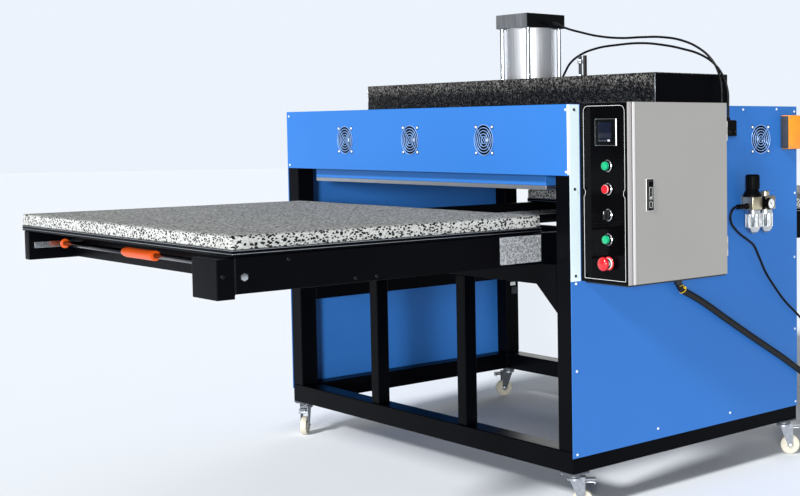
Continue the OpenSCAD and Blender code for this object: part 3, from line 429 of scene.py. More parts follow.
def turned(bm, outline, start, way, sides=32):
    """A turned shape: outline is (radius, distance) pairs along the direction way. One that
    keeps off the axis at both ends is closed into a ring."""
    first = [bm.verts.new((r, 0, z)) for r, z in outline]
    is_ring = outline[0][0] > 0 and outline[-1][0] > 0
    pairs = list(zip(first, first[1:])) + ([(first[-1], first[0])] if is_ring else [])
    lines = [bm.edges.new(pair) for pair in pairs]
    before = set(bm.verts) - set(first)
    bmesh.ops.spin(bm, geom=first + lines, cent=(0, 0, 0), axis=UP, dvec=(0, 0, 0),
                   angle=tau, steps=sides, use_merge=True, use_duplicate=False)
    made = [v for v in bm.verts if v not in before]
    bmesh.ops.remove_doubles(bm, verts=made, dist=0.001)
    made = [v for v in bm.verts if v not in before]
    turn = Vector(way).to_track_quat("Z", "Y").to_matrix().to_4x4()
    bmesh.ops.transform(bm, matrix=Matrix.Translation(start) @ turn, verts=made)


def around(count, radius, lead=0):
    """Points evenly round a circle, from the angle lead in radians."""
    angles = [lead + tau * k / count for k in range(count)]
    return [(radius * cos(a), radius * sin(a)) for a in angles]


def corners(a, b):
    """The four corners of a rectangle that lie a and b from its middle."""
    return [(x, y) for x in (-a, a) for y in (-b, b)]


def hoop(bm, middle, way, radius, wire, sides=40):
    """A ring of round wire."""
    turned(bm, [(radius + r, z) for r, z in around(8, wire)], middle, way, sides)


def bar(bm, points, radius, sides=10):
    """Straight lengths of wire from point to point."""
    for a, b in zip(points, points[1:]):
        rod(bm, a, b, radius, sides=sides)


def screw(bm, place, way, radius=6.5, tall=3.2):
    """A round screw head with a sunk middle."""
    turned(bm, [(0, tall - 1), (1.8, tall - 1), (2.3, tall), (radius * 0.72, tall * 0.85),
                (radius, tall * 0.3), (radius, -0.3), (0, -0.3)], place, way, 14)


def piece(name, bm, finish, body="frame", smooth=38, replaced=()):
    """Brings a drawn shape into the frame as one named piece that rides on a body."""
    bmesh.ops.recalc_face_normals(bm, faces=bm.faces)
    bmesh.ops.transform(bm, matrix=TO_FRAME, verts=bm.verts)
    mesh = bpy.data.meshes.new(name)
    bm.to_mesh(mesh)
    bm.free()
    mesh.shade_smooth()
    mesh.set_sharp_from_angle(angle=radians(smooth))
    mesh.materials.append(finish)
    made = put(name, mesh)
    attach(made, body)
    if replaced:
        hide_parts(*replaced)
    return made


def lone(name, finish, draw, *given, **more):
    """A piece of one shape: the function that draws it, and what it is given."""
    bm = bmesh.new()
    draw(bm, *given)
    return piece(name, bm, finish, **more)


# ---- Cords ----
def line(name, points, diameter, finish):
    """A cord as one smooth open curve through points in millimetres."""
    curve = bpy.data.curves.new(name, "CURVE")
    curve.dimensions = "3D"
    curve.bevel_depth = diameter / 2000
    curve.bevel_resolution = 4
    curve.resolution_u = 6
    curve.use_fill_caps = True
    spline = curve.splines.new("BEZIER")
    spline.bezier_points.add(len(points) - 1)
    for knot, point in zip(spline.bezier_points, points):
        knot.co = at(*point)
        knot.handle_left_type = knot.handle_right_type = "AUTO"
    curve.materials.append(finish)
    made = put(name, curve)
    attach(made, "frame")
    return made


def eased(keys, t):
    """A value that moves smoothly from key to key; keys are (t, value) pairs."""
    for (t0, a), (t1, b) in zip(keys, keys[1:]):
        if t <= t1:
            s = max(0, (t - t0) / (t1 - t0))
            return a + (b - a) * s * s * (3 - 2 * s)
    return keys[-1][1]


def coil(middle, start, way, last, radii, heights):
    """Points of a coil about middle, one each 15 degrees up to last, from the angle start."""
    made = []
    for t in range(15, last, 15):
        angle = radians(start + way * t)
        r = eased(radii, t)
        made.append((middle[0] + r * cos(angle), middle[1] + r * sin(angle),
                     eased(heights, t)))
    return made


cable_route = [(1262, -150, 1036), (1262, -150, 1026), (1262, -147, 1008), (1262, -136, 986),
               (1261, -110, 965), (1260, -65, 943), (1258, 0, 911), (1256, 90, 861),
               (1254, 180, 808), (1253, 270, 756), (1252, 360, 704), (1251, 455, 650),
               (1250, 555, 594), (1250, 650, 540), (1251, 740, 485), (1254, 830, 428),
               (1260, 915, 368), (1270, 990, 303), (1282, 1050, 240), (1296, 1105, 180),
               (1310, 1160, 125), (1325, 1215, 78), (1336, 1270, 43), (1344, 1330, 22),
               (1348, 1400, 17)]
cable_tail = [(1144, 1604, 51), (1110, 1605, 50), (1075, 1608, 47), (1040, 1611, 44),
              (1005, 1613, 42), (980, 1614, 42)]
cable_turns = coil((1144, 1400), 0, 1, 1170, [(0, 204), (300, 204), (360, 170), (840, 170),
                   (900, 204), (1200, 204)], [(0, 17), (540, 17), (600, 51), (1200, 51)])
hose_route = [(1300, 240, 1356), (1300, 234, 1356), (1299, 220, 1353), (1297, 205, 1342),
              (1295, 196, 1322), (1293, 195, 1300), (1290, 205, 1277), (1286, 232, 1250),
              (1280, 285, 1214), (1272, 350, 1182), (1264, 405, 1150), (1258, 450, 1092),
              (1255, 510, 1001), (1253, 575, 929), (1252, 641, 862), (1251, 700, 812),
              (1251, 760, 767), (1254, 830, 706), (1264, 890, 642), (1282, 940, 572),
              (1305, 980, 487), (1328, 1010, 390), (1346, 1033, 290), (1359, 1055, 195),
              (1366, 1077, 110), (1370, 1100, 52), (1372, 1128, 18), (1372, 1155, 7),
              (1372, 1180, 6)]
hose_turns = coil((1450, 1180), 180, -1, 1890, [(0, 78), (300, 78), (360, 66), (660, 66),
                  (720, 54), (1200, 54), (1260, 66), (1560, 66), (1620, 78), (1900, 78)],
                  [(0, 6), (900, 6), (960, 18), (1900, 18)])
hose_tail = [(1450, 1258, 18), (1464, 1260, 17), (1476, 1265, 15), (1486, 1270, 13),
             (1494, 1272, 12)]
upper_route = [(180, 0, 2322), (188, 0, 2322), (225, 6, 2312), (275, 17, 2291), (380, 38, 2262),
               (490, 55, 2238), (640, 78, 2221), (775, 97, 2219), (905, 115, 2213),
               (1030, 132, 2190), (1130, 147, 2148), (1202, 158, 2092), (1242, 165, 2030),
               (1260, 169, 1960), (1262, 170, 1880), (1262, 170, 1800)]
lower_route = [(195, 5, 1985), (202, 5, 1985), (224, 9, 1998), (243, 14, 2022), (262, 20, 2055),
               (290, 28, 2098), (352, 38, 2139), (460, 55, 2172), (615, 80, 2187),
               (770, 102, 2189), (895, 122, 2175), (1020, 140, 2150), (1140, 160, 2112),
               (1215, 172, 2064), (1262, 183, 2000), (1283, 190, 1930), (1285, 191, 1865),
               (1285, 191, 1800)]


def power_cable():
    """The power lead with its tapered gland, plug and pins."""
    lead = line("power_lead", cable_route + cable_turns + cable_tail, 34, cable_rubber)
    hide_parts("power_cable", "power_coil")
    lone("cable_gland", black_plastic, turned,
         [(0, 0), (30, 0), (32, 3), (32, 16), (26, 19), (26, 24), (28, 26), (28, 30), (21, 44),
          (19, 60), (17.6, 66)], (1262, -150, 1066), DOWN)
    x, y, z = cable_tail[-1]
    bm = bmesh.new()
    turned(bm, [(17.6, 0), (24, 4), (28, 16), (30, 20), (30, 50), (36, 56), (36, 62), (38, 62),
                (40, 66), (40, 126), (37, 130), (34, 130), (34, 110), (0, 110)], (x, y, z),
           LEFT, 40)
    for dy, dz in around(12, 30):
        rod(bm, (x - 22, y + dy, z + dz), (x - 46, y + dy, z + dz), 1.6, sides=8)
    plug = piece("mains_plug", bm, red_plastic, replaced=["power_plug"])
    bm = bmesh.new()
    for dy, dz in around(5, 20, tau / 20):
        rod(bm, (x - 108, y + dy, z + dz), (x - 128, y + dy, z + dz), 4, sides=16, edge=1)
    pins = piece("mains_plug_pins", bm, nickel)


def supply_line():
    """The air supply hose with its quick coupler."""
    hose = line("supply_line", hose_route + hose_turns + hose_tail, 12, hose_rubber)
    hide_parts("supply_hose", "supply_coil")
    coupler = lone("quick_coupler", brass, turned,
                   [(0, 0), (8, 0), (10, 2), (10, 10), (12, 12), (12, 30), (10, 32), (7, 33),
                    (7, 40), (9, 41), (9, 44), (7, 46), (4, 48), (0, 48)], hose_tail[-1], RIGHT,
                   replaced=["hose_coupler"])


def cylinder_lines():
    """The two hoses from the cylinder to the valve."""
    upper = line("upper_cylinder_hose", upper_route, 12, hose_rubber)
    lower = line("lower_cylinder_hose", lower_route, 12, hose_rubber)
    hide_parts("air_hoses")


power_cable()
supply_line()
cylinder_lines()


# ---- Carried-over nodes: their own mesh, welded and with rounded edges ----
def keep(finish, width, *names):
    """Gives nodes a finish, and a bevel of the given millimetres."""
    for name in names:
        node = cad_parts[name]
        node.data.materials.clear()
        node.data.materials.append(finish)
        node.modifiers.new("weld", "WELD").merge_threshold = 0.00002
        if width:
            soft = node.modifiers.new("edges", "BEVEL")
            soft.width = width / 1000
            soft.segments = 2
            soft.limit_method = "ANGLE"
            soft.angle_limit = radians(40)
        flat = node.modifiers.new("flat_faces", "WEIGHTED_NORMAL")
        flat.mode = "FACE_AREA"
        flat.weight = 100
        flat.keep_sharp = True
        for face in node.data.polygons:
            face.use_smooth = True
        node.data.set_sharp_from_angle(angle=radians(35))


keep(black_enamel, 5, "base_frame", "posts", "cross_beams", "top_frame")
keep(wrinkle_black, 3, "beam_cover")
keep(blue_steel, 1.2, "end_panels", "side_panels")
keep(blue_steel, 2, "platen_cover")
keep(black_gloss, 4, "slide_rails")
keep(black_gloss, 1.5, "front_table", "rear_table")
keep(ground_steel, 1, "guide_tracks")
keep(cast_aluminium, 4, "cylinder_caps")
keep(barrel_aluminium, 0, "cylinder_barrel")
keep(chrome, 1, "piston_rod")
keep(milled_aluminium, 1.5, "heater_plate")
keep(pale_coat, 2, "box_shell")
keep(grey_coat, 1.2, "box_door")
keep(acrylic, 1, "control_panel")
keep(matt_black, 1, "hose_fittings")
keep(dark_zinc, 2, "caster_plates", "caster_fork_fl", "caster_fork_fr", "caster_fork_rl",
     "caster_fork_rr")


# ---- Pads ----
def pad(name, node, body, sign):
    """A felt slab with a soft rim, its top and sides a little uneven."""
    bm = bmesh.new()
    foot, top = 1305, 1360
    slab(bm, (-TABLE_X, -TABLE_Y, foot), (TABLE_X, TABLE_Y, top))
    across = [e for e in bm.edges if abs(e.verts[0].co.z - e.verts[1].co.z) < 1]
    bmesh.ops.subdivide_edges(bm, edges=across, cuts=24, use_grid_fill=True)
    soften(bm, [e for e in bm.edges if e.calc_face_angle(0) > 1], 6, 3)
    for v in bm.verts:
        if v.co.z > top - 10:
            v.co.z -= 1.6 * (0.5 + 0.5 * noise.noise(v.co / 260))
        if abs(v.co.y) > TABLE_Y - 5:
            v.co.y -= copysign(1.5 + noise.noise(v.co / 120), v.co.y)
        if abs(v.co.x) > TABLE_X - 5:
            v.co.x -= copysign(1.5 + noise.noise(v.co / 120), v.co.x)
    bmesh.ops.translate(bm, vec=(0, DRAWER_Y * sign, 0), verts=bm.verts)
    made = piece(name, bm, felt, body, smooth=60, replaced=[node])


pad("front_felt_pad", "front_pad", "front_drawer", -1)
pad("rear_felt_pad", "rear_pad", "rear_drawer", 1)


# ---- Handles and table trim ----
def drawer_dress(end, sign):
    """A drawer's bar with its grip and end disc, and the folded bright edging along the
    table's rim."""
    body = end + "_drawer"
    middle = sign * DRAWER_Y
    y, apron = middle + sign * 601, middle + sign * 536
    bm = bmesh.new()
    for start, stop in ((-915, -249), (74, 915)):
        rod(bm, (start, y, BAR_Z), (stop, y, BAR_Z), 12, sides=32, edge=1)
    for x in (-855, 855):
        rod(bm, (x, y, BAR_Z), (x, apron, BAR_Z), 8.8)
        rod(bm, (x, apron + sign * 5, BAR_Z), (x, apron, BAR_Z), 15, edge=1)
    piece(end + "_bar", bm, black_chrome, body, replaced=[end + "_handle"])
    nose = [(12 + 10.8 * sin(radians(a)), 60 * (1 - cos(radians(a))))
            for a in range(10, 91, 8)]
    lone(end + "_foam_grip", orange_foam, turned,
         [(0, 0), (12, 0)] + nose + [(22.5, 180), (22.8, 270), (22.8, 322), (21.5, 324.6),
                                     (12, 325), (0, 325)], (-250, y, BAR_Z), RIGHT, 40,
         body=body, smooth=50, replaced=[end + "_grip"])
    lone(end + "_bar_end_disc", orange_foam, turned,
         [(0, 0), (16, 0), (21, 1.5), (22.8, 4), (22.8, 8), (21, 10.5), (16, 12), (0, 12)],
         (-927, y, BAR_Z), RIGHT, body=body, smooth=50)
    bm = bmesh.new()
    half_x, half_y = TABLE_X + 1.5, TABLE_Y + 1.5
    for z in (1288, 1301):
        border(bm, (-half_x, middle - half_y, z), (half_x, middle + half_y, z + 2.6), 2.5, Y, X,
               0.6, 1)
    piece(end + "_table_edging", bm, zinc, body)


drawer_dress("front", -1)
drawer_dress("rear", 1)


# ---- Fans ----
def fan(name, place, body, replaced=()):
    """A fan drawn about its axis: X across, Y inwards through the sheet, Z up."""
    shapes = housing, guard, screws, washers, sticker, rotor = [bmesh.new() for _ in range(6)]
    border(housing, (-75, 3.2, -75), (75, 53, 75), 3.5, X, Z, 1.5)
    turned(housing, [(71, 3.5), (73, 3.5), (73, 52), (71, 52)], (0, 0, 0), REAR, 48)
    rod(housing, (0, 49, 0), (0, 53, 0), 30, sides=32, edge=1)
    for dx, dz in around(3, 74, 0.5):
        bar(housing, [(0, 50.5, 0), (dx, 50.5, dz)], 3.5)
    for k in range(5):
        hoop(guard, (0, -3.6, 0), REAR, 17 + 14 * k, 2.0)
    for dx, dz in around(4, 92, tau / 8)[:2]:
        bar(guard, [(-dx, -1.9, -dz), (-dx * 0.8, -2.2, -dz * 0.8), (dx * 0.8, -2.2, dz * 0.8),
                    (dx, -1.9, dz)], 1.2)
    for dx, dz in corners(62, 62):
        turned(screws, [(0, -5.5), (4, -5), (6.5, -3), (7, -1), (7, 0.3), (0, 0.3)],
               (dx, 0, dz), REAR, 16)
        turned(washers, [(6, -0.9), (10.5, -0.9), (10.5, 0.3), (6, 0.3)], (dx, 0, dz), REAR, 20)
    rod(sticker, (0, 18.7, 0), (0, 19.1, 0), 9, sides=28)
    turned(rotor, [(0, 19), (24, 19), (27.5, 22), (28, 26), (28, 47), (0, 47)], (0, 0, 0), REAR)
    for k in range(7):
        blade = bmesh.new()
        bmesh.ops.create_grid(blade, x_segments=6, y_segments=6, size=1)
        for v in blade.verts:
            u, w = (v.co.x + 1) / 2, v.co.y
            r = 26 + 41 * u
            lean = radians(14 + 11 * u)
            angle = w * (0.42 - 0.1 * u) + 0.25 * u
            v.co = Vector((r * cos(angle), 33 + 13 * w * cos(lean) - 3 * w * w,
                           r * sin(angle)))
        bmesh.ops.solidify(blade, geom=blade.faces[:], thickness=1.6)
        bmesh.ops.rotate(blade, cent=(0, 0, 0), matrix=Matrix.Rotation(tau * k / 7, 3, "Y"),
                         verts=blade.verts)
        held = bpy.data.meshes.new("blade")
        blade.to_mesh(held)
        blade.free()
        rotor.from_mesh(held)
        bpy.data.meshes.remove(held)
    for bm in shapes:
        bmesh.ops.transform(bm, matrix=place, verts=bm.verts)
    piece(name + "_fan_housing", housing, matt_black, replaced=replaced)
    piece(name + "_fan_guard", guard, wire_painted_blue_reflection)
    piece(name + "_fan_screws", screws, bright_zinc)
    piece(name + "_fan_washers", washers, blackened_steel)
    piece(name + "_fan_blank_sticker", sticker, white_plastic, body)
    piece(name + "_fan_impeller", rotor, matt_black, body, replaced=[name + "_fan_rotor"])


fan("left", Matrix.Translation((-610, -PANEL_Y, 1700)), "left_rotor")
fan("middle", Matrix.Translation((0, -PANEL_Y, 1700)), "middle_rotor", ["fan_guards"])
fan("right", Matrix.Translation((610, -PANEL_Y, 1700)), "right_rotor")
fan("side", Matrix.Translation((PANEL_X, 505, 1690)) @ Matrix.Rotation(pi / 2, 4, "Z"),
    "side_rotor")


# ---- Cylinder, rods and cover ----
def cylinder():
    """The tie rods with their washers, and socket head screws sunk in the upper cap."""
    rods, plugs = bmesh.new(), bmesh.new()
    for x, y in corners(110, 110):
        rod(rods, (x, y, 1949), (x, y, 2375), 11.9, sides=28)
        for z in (2012, 2304):
            turned(rods, [(12, 0), (17, 0), (17, 3), (12, 3)], (x, y, z), UP, 24)
        turned(plugs, [(0, -2), (6, -2), (6.5, 0), (11, 0), (11.8, -0.6)], (x, y, 2375.2), UP, 24)
    piece("cylinder_tie_rods", rods, ground_steel, replaced=["tie_rods"])
    piece("cylinder_cap_plugs", plugs, blackened_steel)


def press_rods():
    """Guide rods and the two stop rods; the left stop rod is threaded over its whole length."""
    foot, top = 1610, 2137
    bm = bmesh.new()
    for x, y in corners(800, 200):
        rod(bm, (x, y, foot), (x, y, 1845), 19.9, sides=36, edge=1.5)
    thread = [(0, foot)]
    for z in range(foot + 1, top - 3, 3):
        thread += [(8.3, z), (9.9, z + 1.5)]
    turned(bm, thread + [(8.3, top - 2), (7, top), (0, top)], (407, 0, 0), UP, 20)
    piece("guide_and_screw_rods", bm, dark_zinc, "platen", smooth=20, replaced=["guide_rods"])
    lone("dark_stop_rod", blackened_steel, rod, (445, 0, foot), (445, 0, top), 9.9, 24, 1,
         body="platen")
    bm = bmesh.new()
    for z in (2022, 2100):
        rod(bm, (407, 0, z), (407, 0, z + 14), 15, sides=6, edge=1)
        turned(bm, [(10, 0), (17, 0), (17, 2.5), (10, 2.5)], (407, 0, z - 3), UP, 24)
    piece("stop_nuts", bm, zinc, "platen")


def cover_trim():
    """Plain black end plates on the cover, and thin light metal strips at its front corners, a
    painted highlight.
    """
    low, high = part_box("beam_cover")
    front, rear, foot, top = low.y * 1000, high.y * 1000, low.z * 1000, high.z * 1000
    plates, corner_highlights = bmesh.new(), bmesh.new()
    for x, way in (((low.x - MIDDLE) * 1000, -1), ((high.x - MIDDLE) * 1000, 1)):
        slab(plates, (min(x, x + way * 1.5), front + 4, foot + 2),
             (max(x, x + way * 1.5), rear - 4, top - 4), 0.6, 1)
        # painted highlight: a light metal strip along each of the cover's front corner edges
        slab(corner_highlights, (x - 1.5, front - 0.8, foot + 2), (x + 1.5, front + 3, top - 3), 0.6, 1)
    piece("cover_end_plates", plates, black_enamel)
    piece("cover_corner_painted_highlights", corner_highlights, zinc)


cylinder()
press_rods()
cover_trim()


# ---- Screws, bolts and small plates ----
def fasteners():
    """Screws in the panels and slide beams, and the bare rating plate on the right beam."""
    bm = bmesh.new()
    for side in (-1, 1):
        for y, z in ((372, 1842), (635, 1845), (781, 1833), (784, 1403), (779, 1062), (781, 677),
                     (786, 285), (261, 306), (-257, 312), (-773, 278), (-771, 658),
                     (-770, 1055), (-768, 1833), (-758, 1465)):
            screw(bm, (side * PANEL_X, y, z), (side, 0, 0))
        for x in (-1200, 1200):
            for z in (1835, 1557):
                screw(bm, (x, side * PANEL_Y, z), (0, side, 0))
    piece("panel_screws", bm, bright_zinc)
    bm = bmesh.new()
    for side, end in corners(1, 1):
        rod(bm, (side * BEAM_X, end * 2282, 1202), (side * (BEAM_X + 8), end * 2282, 1202), 16,
            sides=6, edge=1.2)
    piece("beam_end_bolts", bm, zinc)
    bm = bmesh.new()
    for y, z in ((2094, 1256), (1799, 1157), (1700, 1157)):
        for side, end in corners(1, 1):
            screw(bm, (side * BEAM_X, end * y, z), (side, 0, 0), 8, 4)
    for end in (-1, 1):
        screw(bm, (BEAM_X - 5, end * 2363, 1209), RIGHT, 9, 4)
    piece("beam_cap_screws", bm, blackened_steel)
    lone("bare_rating_plate", bare_plate, slab, (BEAM_X, -1065, 1150),
         (BEAM_X + 1.5, -830, 1272), 0.6, 1)
    bm = bmesh.new()
    for y in (-1056, -839):
        for z in (1159, 1263):
            screw(bm, (BEAM_X + 1.3, y, z), RIGHT, 3.4, 1.8)
    piece("rating_plate_rivets", bm, zinc)


fasteners()


# ---- Control box ----
def frame_line(bm, x0, x1, z0, z1, y, width, corner):
    """A thin printed border with rounded upper corners and a notch at mid-height."""
    mid, notch, bends = (z0 + z1) / 2, 9, (0.39, 0.79, 1.18)
    outline = [(x0, z0), (x0, mid - 2 * notch), (x0 + notch, mid - notch),
               (x0 + notch, mid + notch), (x0, mid + 2 * notch), (x0, z1 - corner)]
    outline += [(x0 + corner - corner * cos(a), z1 - corner + corner * sin(a))
                for a in bends]
    outline += [(x0 + corner, z1), (x1 - corner, z1)]
    outline += [(x1 - corner + corner * sin(a), z1 - corner + corner * cos(a))
                for a in bends]
    outline += [(x1, z1 - corner), (x1, mid + 2 * notch), (x1 - notch, mid + notch),
                (x1 - notch, mid - notch), (x1, mid - 2 * notch), (x1, z0)]
    for (ax, az), (bx, bz) in zip(outline, outline[1:] + outline[:1]):
        run = Vector((bx - ax, 0, bz - az))
        bmesh.ops.create_cube(bm, size=1, matrix=(
            Matrix.Translation(((ax + bx) / 2, y, (az + bz) / 2))
            @ run.to_track_quat("X", "Z").to_matrix().to_4x4()
            @ Matrix.Diagonal((run.length + width, 0.5, width, 1))))


FACE_X, FACE_Y = 1408, -738  # the devices' middle line on the panel, and the panel's face
COLLAR = [(19.9, 0), (27, 0), (27, 3), (24, 6), (23.4, 12), (21.5, 14), (20.2, 14), (19.9, 12)]
PUSH_CAP = [(0, 4.5), (18.6, 4.5), (18.6, 22), (17.6, 24.6), (15, 26), (0, 26.3)]


def device(name, finish, outline, height, sides, **more):
    """A turned piece that stands out from the panel at a height."""
    lone(name, finish, turned, outline, (FACE_X, FACE_Y, height), FRONT, sides, **more)


def controller():
    """The temperature controller's case, edges, window and blank keys."""
    x, y, z = FACE_X, FACE_Y, 1734
    lone("controller_case", matt_black, slab, (x - 71, y - 10, z - 59), (x + 71, y, z + 59), 2,
         replaced=["temperature_controller"])
    lone("controller_bright_edge", white_plastic, slab, (x + 62, y - 11.5, z - 59),
         (x + 69, y - 9.5, z + 59), 0.8)
    bm = bmesh.new()
    slab(bm, (x - 70, y - 11.5, z - 59), (x - 68, y - 9.5, z + 59), 0.5)
    for foot in (z - 59, z + 57):
        slab(bm, (x - 68, y - 11.5, foot), (x + 62, y - 9.5, foot + 2), 0.5)
    piece("controller_bezel", bm, nickel)
    lone("controller_window", display, slab, (x - 50, y - 11, z - 43), (x + 34, y - 9.5, z + 43),
         0.6)
    lone("controller_key", white_plastic, slab, (x + 12, y - 12, z - 40),
         (x + 26, y - 10.6, z - 33), 0.6)
    bm = bmesh.new()
    for left in (x - 44, x - 27, x - 10):
        slab(bm, (left, y - 12, z - 40), (left + 12, y - 10.6, z - 35), 0.6)
    piece("controller_small_keys", bm, dark_zinc)


def buttons():
    """Three push buttons, the selector and the emergency stop."""
    for name, height, finish in (("start", 1586, green_plastic), ("stop", 1484, red_plastic),
                                 ("reset", 1262, green_plastic)):
        device(name + "_bezel", nickel, COLLAR, height, 40)
        device(name + "_cap", finish, PUSH_CAP, height, 36, body=name + "_cap",
               replaced=[name + "_button"])
    device("stop_button_ring", white_plastic, [(15, 18), (19.4, 18), (19.4, 20.5), (15, 20.5)],
           1484, 40, body="stop_cap")
    x, y, z = FACE_X, FACE_Y, 1370
    device("selector_bezel", nickel, COLLAR, z, 40)
    bm = bmesh.new()
    turned(bm, [(0, 1), (19.4, 1), (19.4, 13), (18, 15), (0, 15)], (x, y, z), FRONT, 36)
    slab(bm, (x - 6, y - 28, z - 19), (x + 6, y - 13, z + 19), 2)
    piece("selector_lever", bm, black_plastic, "selector", replaced=["selector_knob"])
    lone("selector_pointer", white_plastic, slab, (x - 1.3, y - 28.6, z + 4),
         (x + 1.3, y - 27.4, z + 17), 0.3, 1, body="selector")
    z = 1156
    device("emergency_collar", white_plastic,
           [(15.3, 0), (24, 0), (24, 4), (22, 9), (19, 10), (15.3, 10)], z, 36)
    device("emergency_backing_ring", red_plastic,
           [(24.2, 0), (30.5, 0), (30.5, 2.2), (29.5, 3), (24.2, 3)], z, 44)
    device("emergency_stem", white_plastic, [(0, 4.5), (14.8, 4.5), (14.8, 23), (0, 23)], z, 32,
           body="emergency_cap")
    device("emergency_mushroom", red_plastic,
           [(0, 22), (24, 24), (30, 28), (31, 33), (30, 39), (26, 44), (18, 47.5), (0, 48.3)], z,
           44, body="emergency_cap", smooth=60, replaced=["emergency_stop"])


def panel_trim():
    """The printed border, and the black gasket that hides the shell's rim around the panel."""
    lone("panel_border", white_plastic, frame_line, 1250, 1515, 1082, 1850, FACE_Y - 0.2, 1.5, 26)
    bm = bmesh.new()
    for x0, x1, z0, z1 in ((1225.3, 1233, 1066.3, 1864.7), (1521, 1531, 1066.3, 1864.7),
                           (1233, 1521, 1066.3, 1074), (1233, 1521, 1857, 1864.7)):
        slab(bm, (x0, -737.4, z0), (x1, -734.8, z1), 0.3, 1)
    piece("panel_gasket", bm, matt_black)


def latch():
    """A lift-and-turn latch: the paddle with its printed lines, in a raised bezel."""
    x, y, z = 1532, -604, 1457
    bm = bmesh.new()
    slab(bm, (x + 3.4, y - 12.7, z - 60.7), (x + 7.7, y + 12.7, z + 60.7), 1)
    rod(bm, (x - 15, y, z), (x + 3.6, y, z), 6)
    slab(bm, (x - 18, y - 6, z - 6), (x - 15, y + 6, z + 45), 0.6)
    piece("latch_paddle", bm, matt_black, "latch", replaced=["door_latch"])
    bm = bmesh.new()
    for low, high in ((-56, -30), (-22, 34)):
        border(bm, (x + 7.4, y - 8.5, z + low), (x + 8.2, y + 8.5, z + high), 1.2, Y, Z, 0.3, 1)
    rod(bm, (x + 7.4, y, z - 12), (x + 8.2, y, z - 12), 4, sides=20)
    piece("latch_paddle_lines", bm, white_plastic, "latch")
    lone("latch_bezel", matt_black, border, (x, y - 22.2, z - 70.2),
         (x + 3.2, y + 22.2, z + 70.2), 9, Y, Z, 0.8, body="door")
    lone("latch_bezel_edge", white_plastic, border, (x + 0.2, y - 22.6, z - 70.6),
         (x + 3.35, y + 22.6, z + 70.6), 1.2, Y, Z, 0.3, 1, body="door")


def box_dress():
    """A cool white strip on the front and side panels at the corner beside the box, a painted
    highlight; the door's folded edges, the outer fold with a painted highlight; and its seal.
    """
    # painted highlight: a near-white sheet on the front and side panels at the corner beside the
    # box
    bm = bmesh.new()
    slab(bm, (1210, -801.5, 1545), (1225, -799.5, 1858), 0.5, 1)
    slab(bm, (1224.5, -801.5, 1066), (1226.4, -742, 1858), 0.5, 1)
    piece("side_margin_painted_highlight", bm, painted_highlight_white)
    bm = bmesh.new()
    for z in (1835, 1480, 1090):
        screw(bm, (1226, -772, z), RIGHT, 7, 3.4)
    piece("side_margin_screws", bm, blackened_steel)
    # the last of these, a lighter copy of the shell's enamel, is a painted highlight on the door's
    # outer fold
    for name, finish, x0, x1, y0, y1, edge, steps in (
            ("door_edge_fold", pale_coat, 1531, 1533, -737.5, -712, 0.8, 2),
            ("door_fold_seam", matt_black, 1531.6, 1532.3, -712, -708, 0.2, 1),
            ("door_fold_painted_highlight", fold_painted_highlight, 1531.6, 1533.2, -708, -691, 0.6, 2)):
        lone(name, finish, slab, (x0, y0, 1067), (x1, y1, 1864), edge, steps, body="door")
    bm = bmesh.new()
    slab(bm, (1520, -735, 1060), (1529, -100, 1066), 1)
    slab(bm, (1250, -735, 1060), (1520, -727, 1066), 1)
    piece("box_seal", bm, black_plastic)


controller()
buttons()
panel_trim()
latch()
box_dress()


# ---- Air unit, valve and orange socket box ----
AIR_X, AIR_Z = 1300, 1336  # the air unit's middle line and the underside of its bodies
BOWLS = (356, 452)  # the two bowls' places along it


def air_unit():
    """Two cast bodies on a bracket, the regulator's skirt, the ports and the knob."""
    x, foot, top = AIR_X, AIR_Z, AIR_Z + 68
    bm = bmesh.new()
    for y0, y1 in ((315, 390), (414, 493)):
        slab(bm, (x - 36, y0, foot), (x + 36, y1, top), 5, 3)
    for y in BOWLS:
        turned(bm, [(0, 0), (30, 0), (33, 3), (33, 14), (0, 14)], (x, y, foot), DOWN)
    slab(bm, (1225, 366, 1355), (1265, 442, 1385), 2)
    slab(bm, (1225, 352, foot), (1229, 456, top), 1)
    turned(bm, [(0, 0), (22, 0), (22, 20), (18, 25), (0, 25)], (x, 452, top), UP)
    piece("air_unit_bodies", bm, champagne, replaced=["air_unit"])
    bm = bmesh.new()
    turned(bm, [(0, 0), (46, 0), (46, 6), (44, 12), (33, 30), (31, 36), (0, 36)], (x, 352, top),
           UP, 40)
    turned(bm, [(0, 0), (12, 0), (12, 60), (15, 62), (15, 74), (0, 74)], (x, 240, 1356), REAR)
    slab(bm, (1266, 390, 1338), (1337.5, 414, 1402), 2)
    piece("air_unit_skirt_and_ports", bm, matt_black)
    bm = bmesh.new()
    turned(bm, [(0, 0), (30, 0), (34, 2), (35, 6), (35, 68), (33, 73), (28, 76), (0, 76)],
           (x, 356, 1438.3), UP, 48)
    for dx, dy in around(24, 34.4):
        rod(bm, (x + dx, 356 + dy, 1446), (x + dx, 356 + dy, 1504), 1.3, sides=6)
    piece("regulator_hand_knob", bm, matt_black, "pressure_knob", replaced=["regulator_knob"])


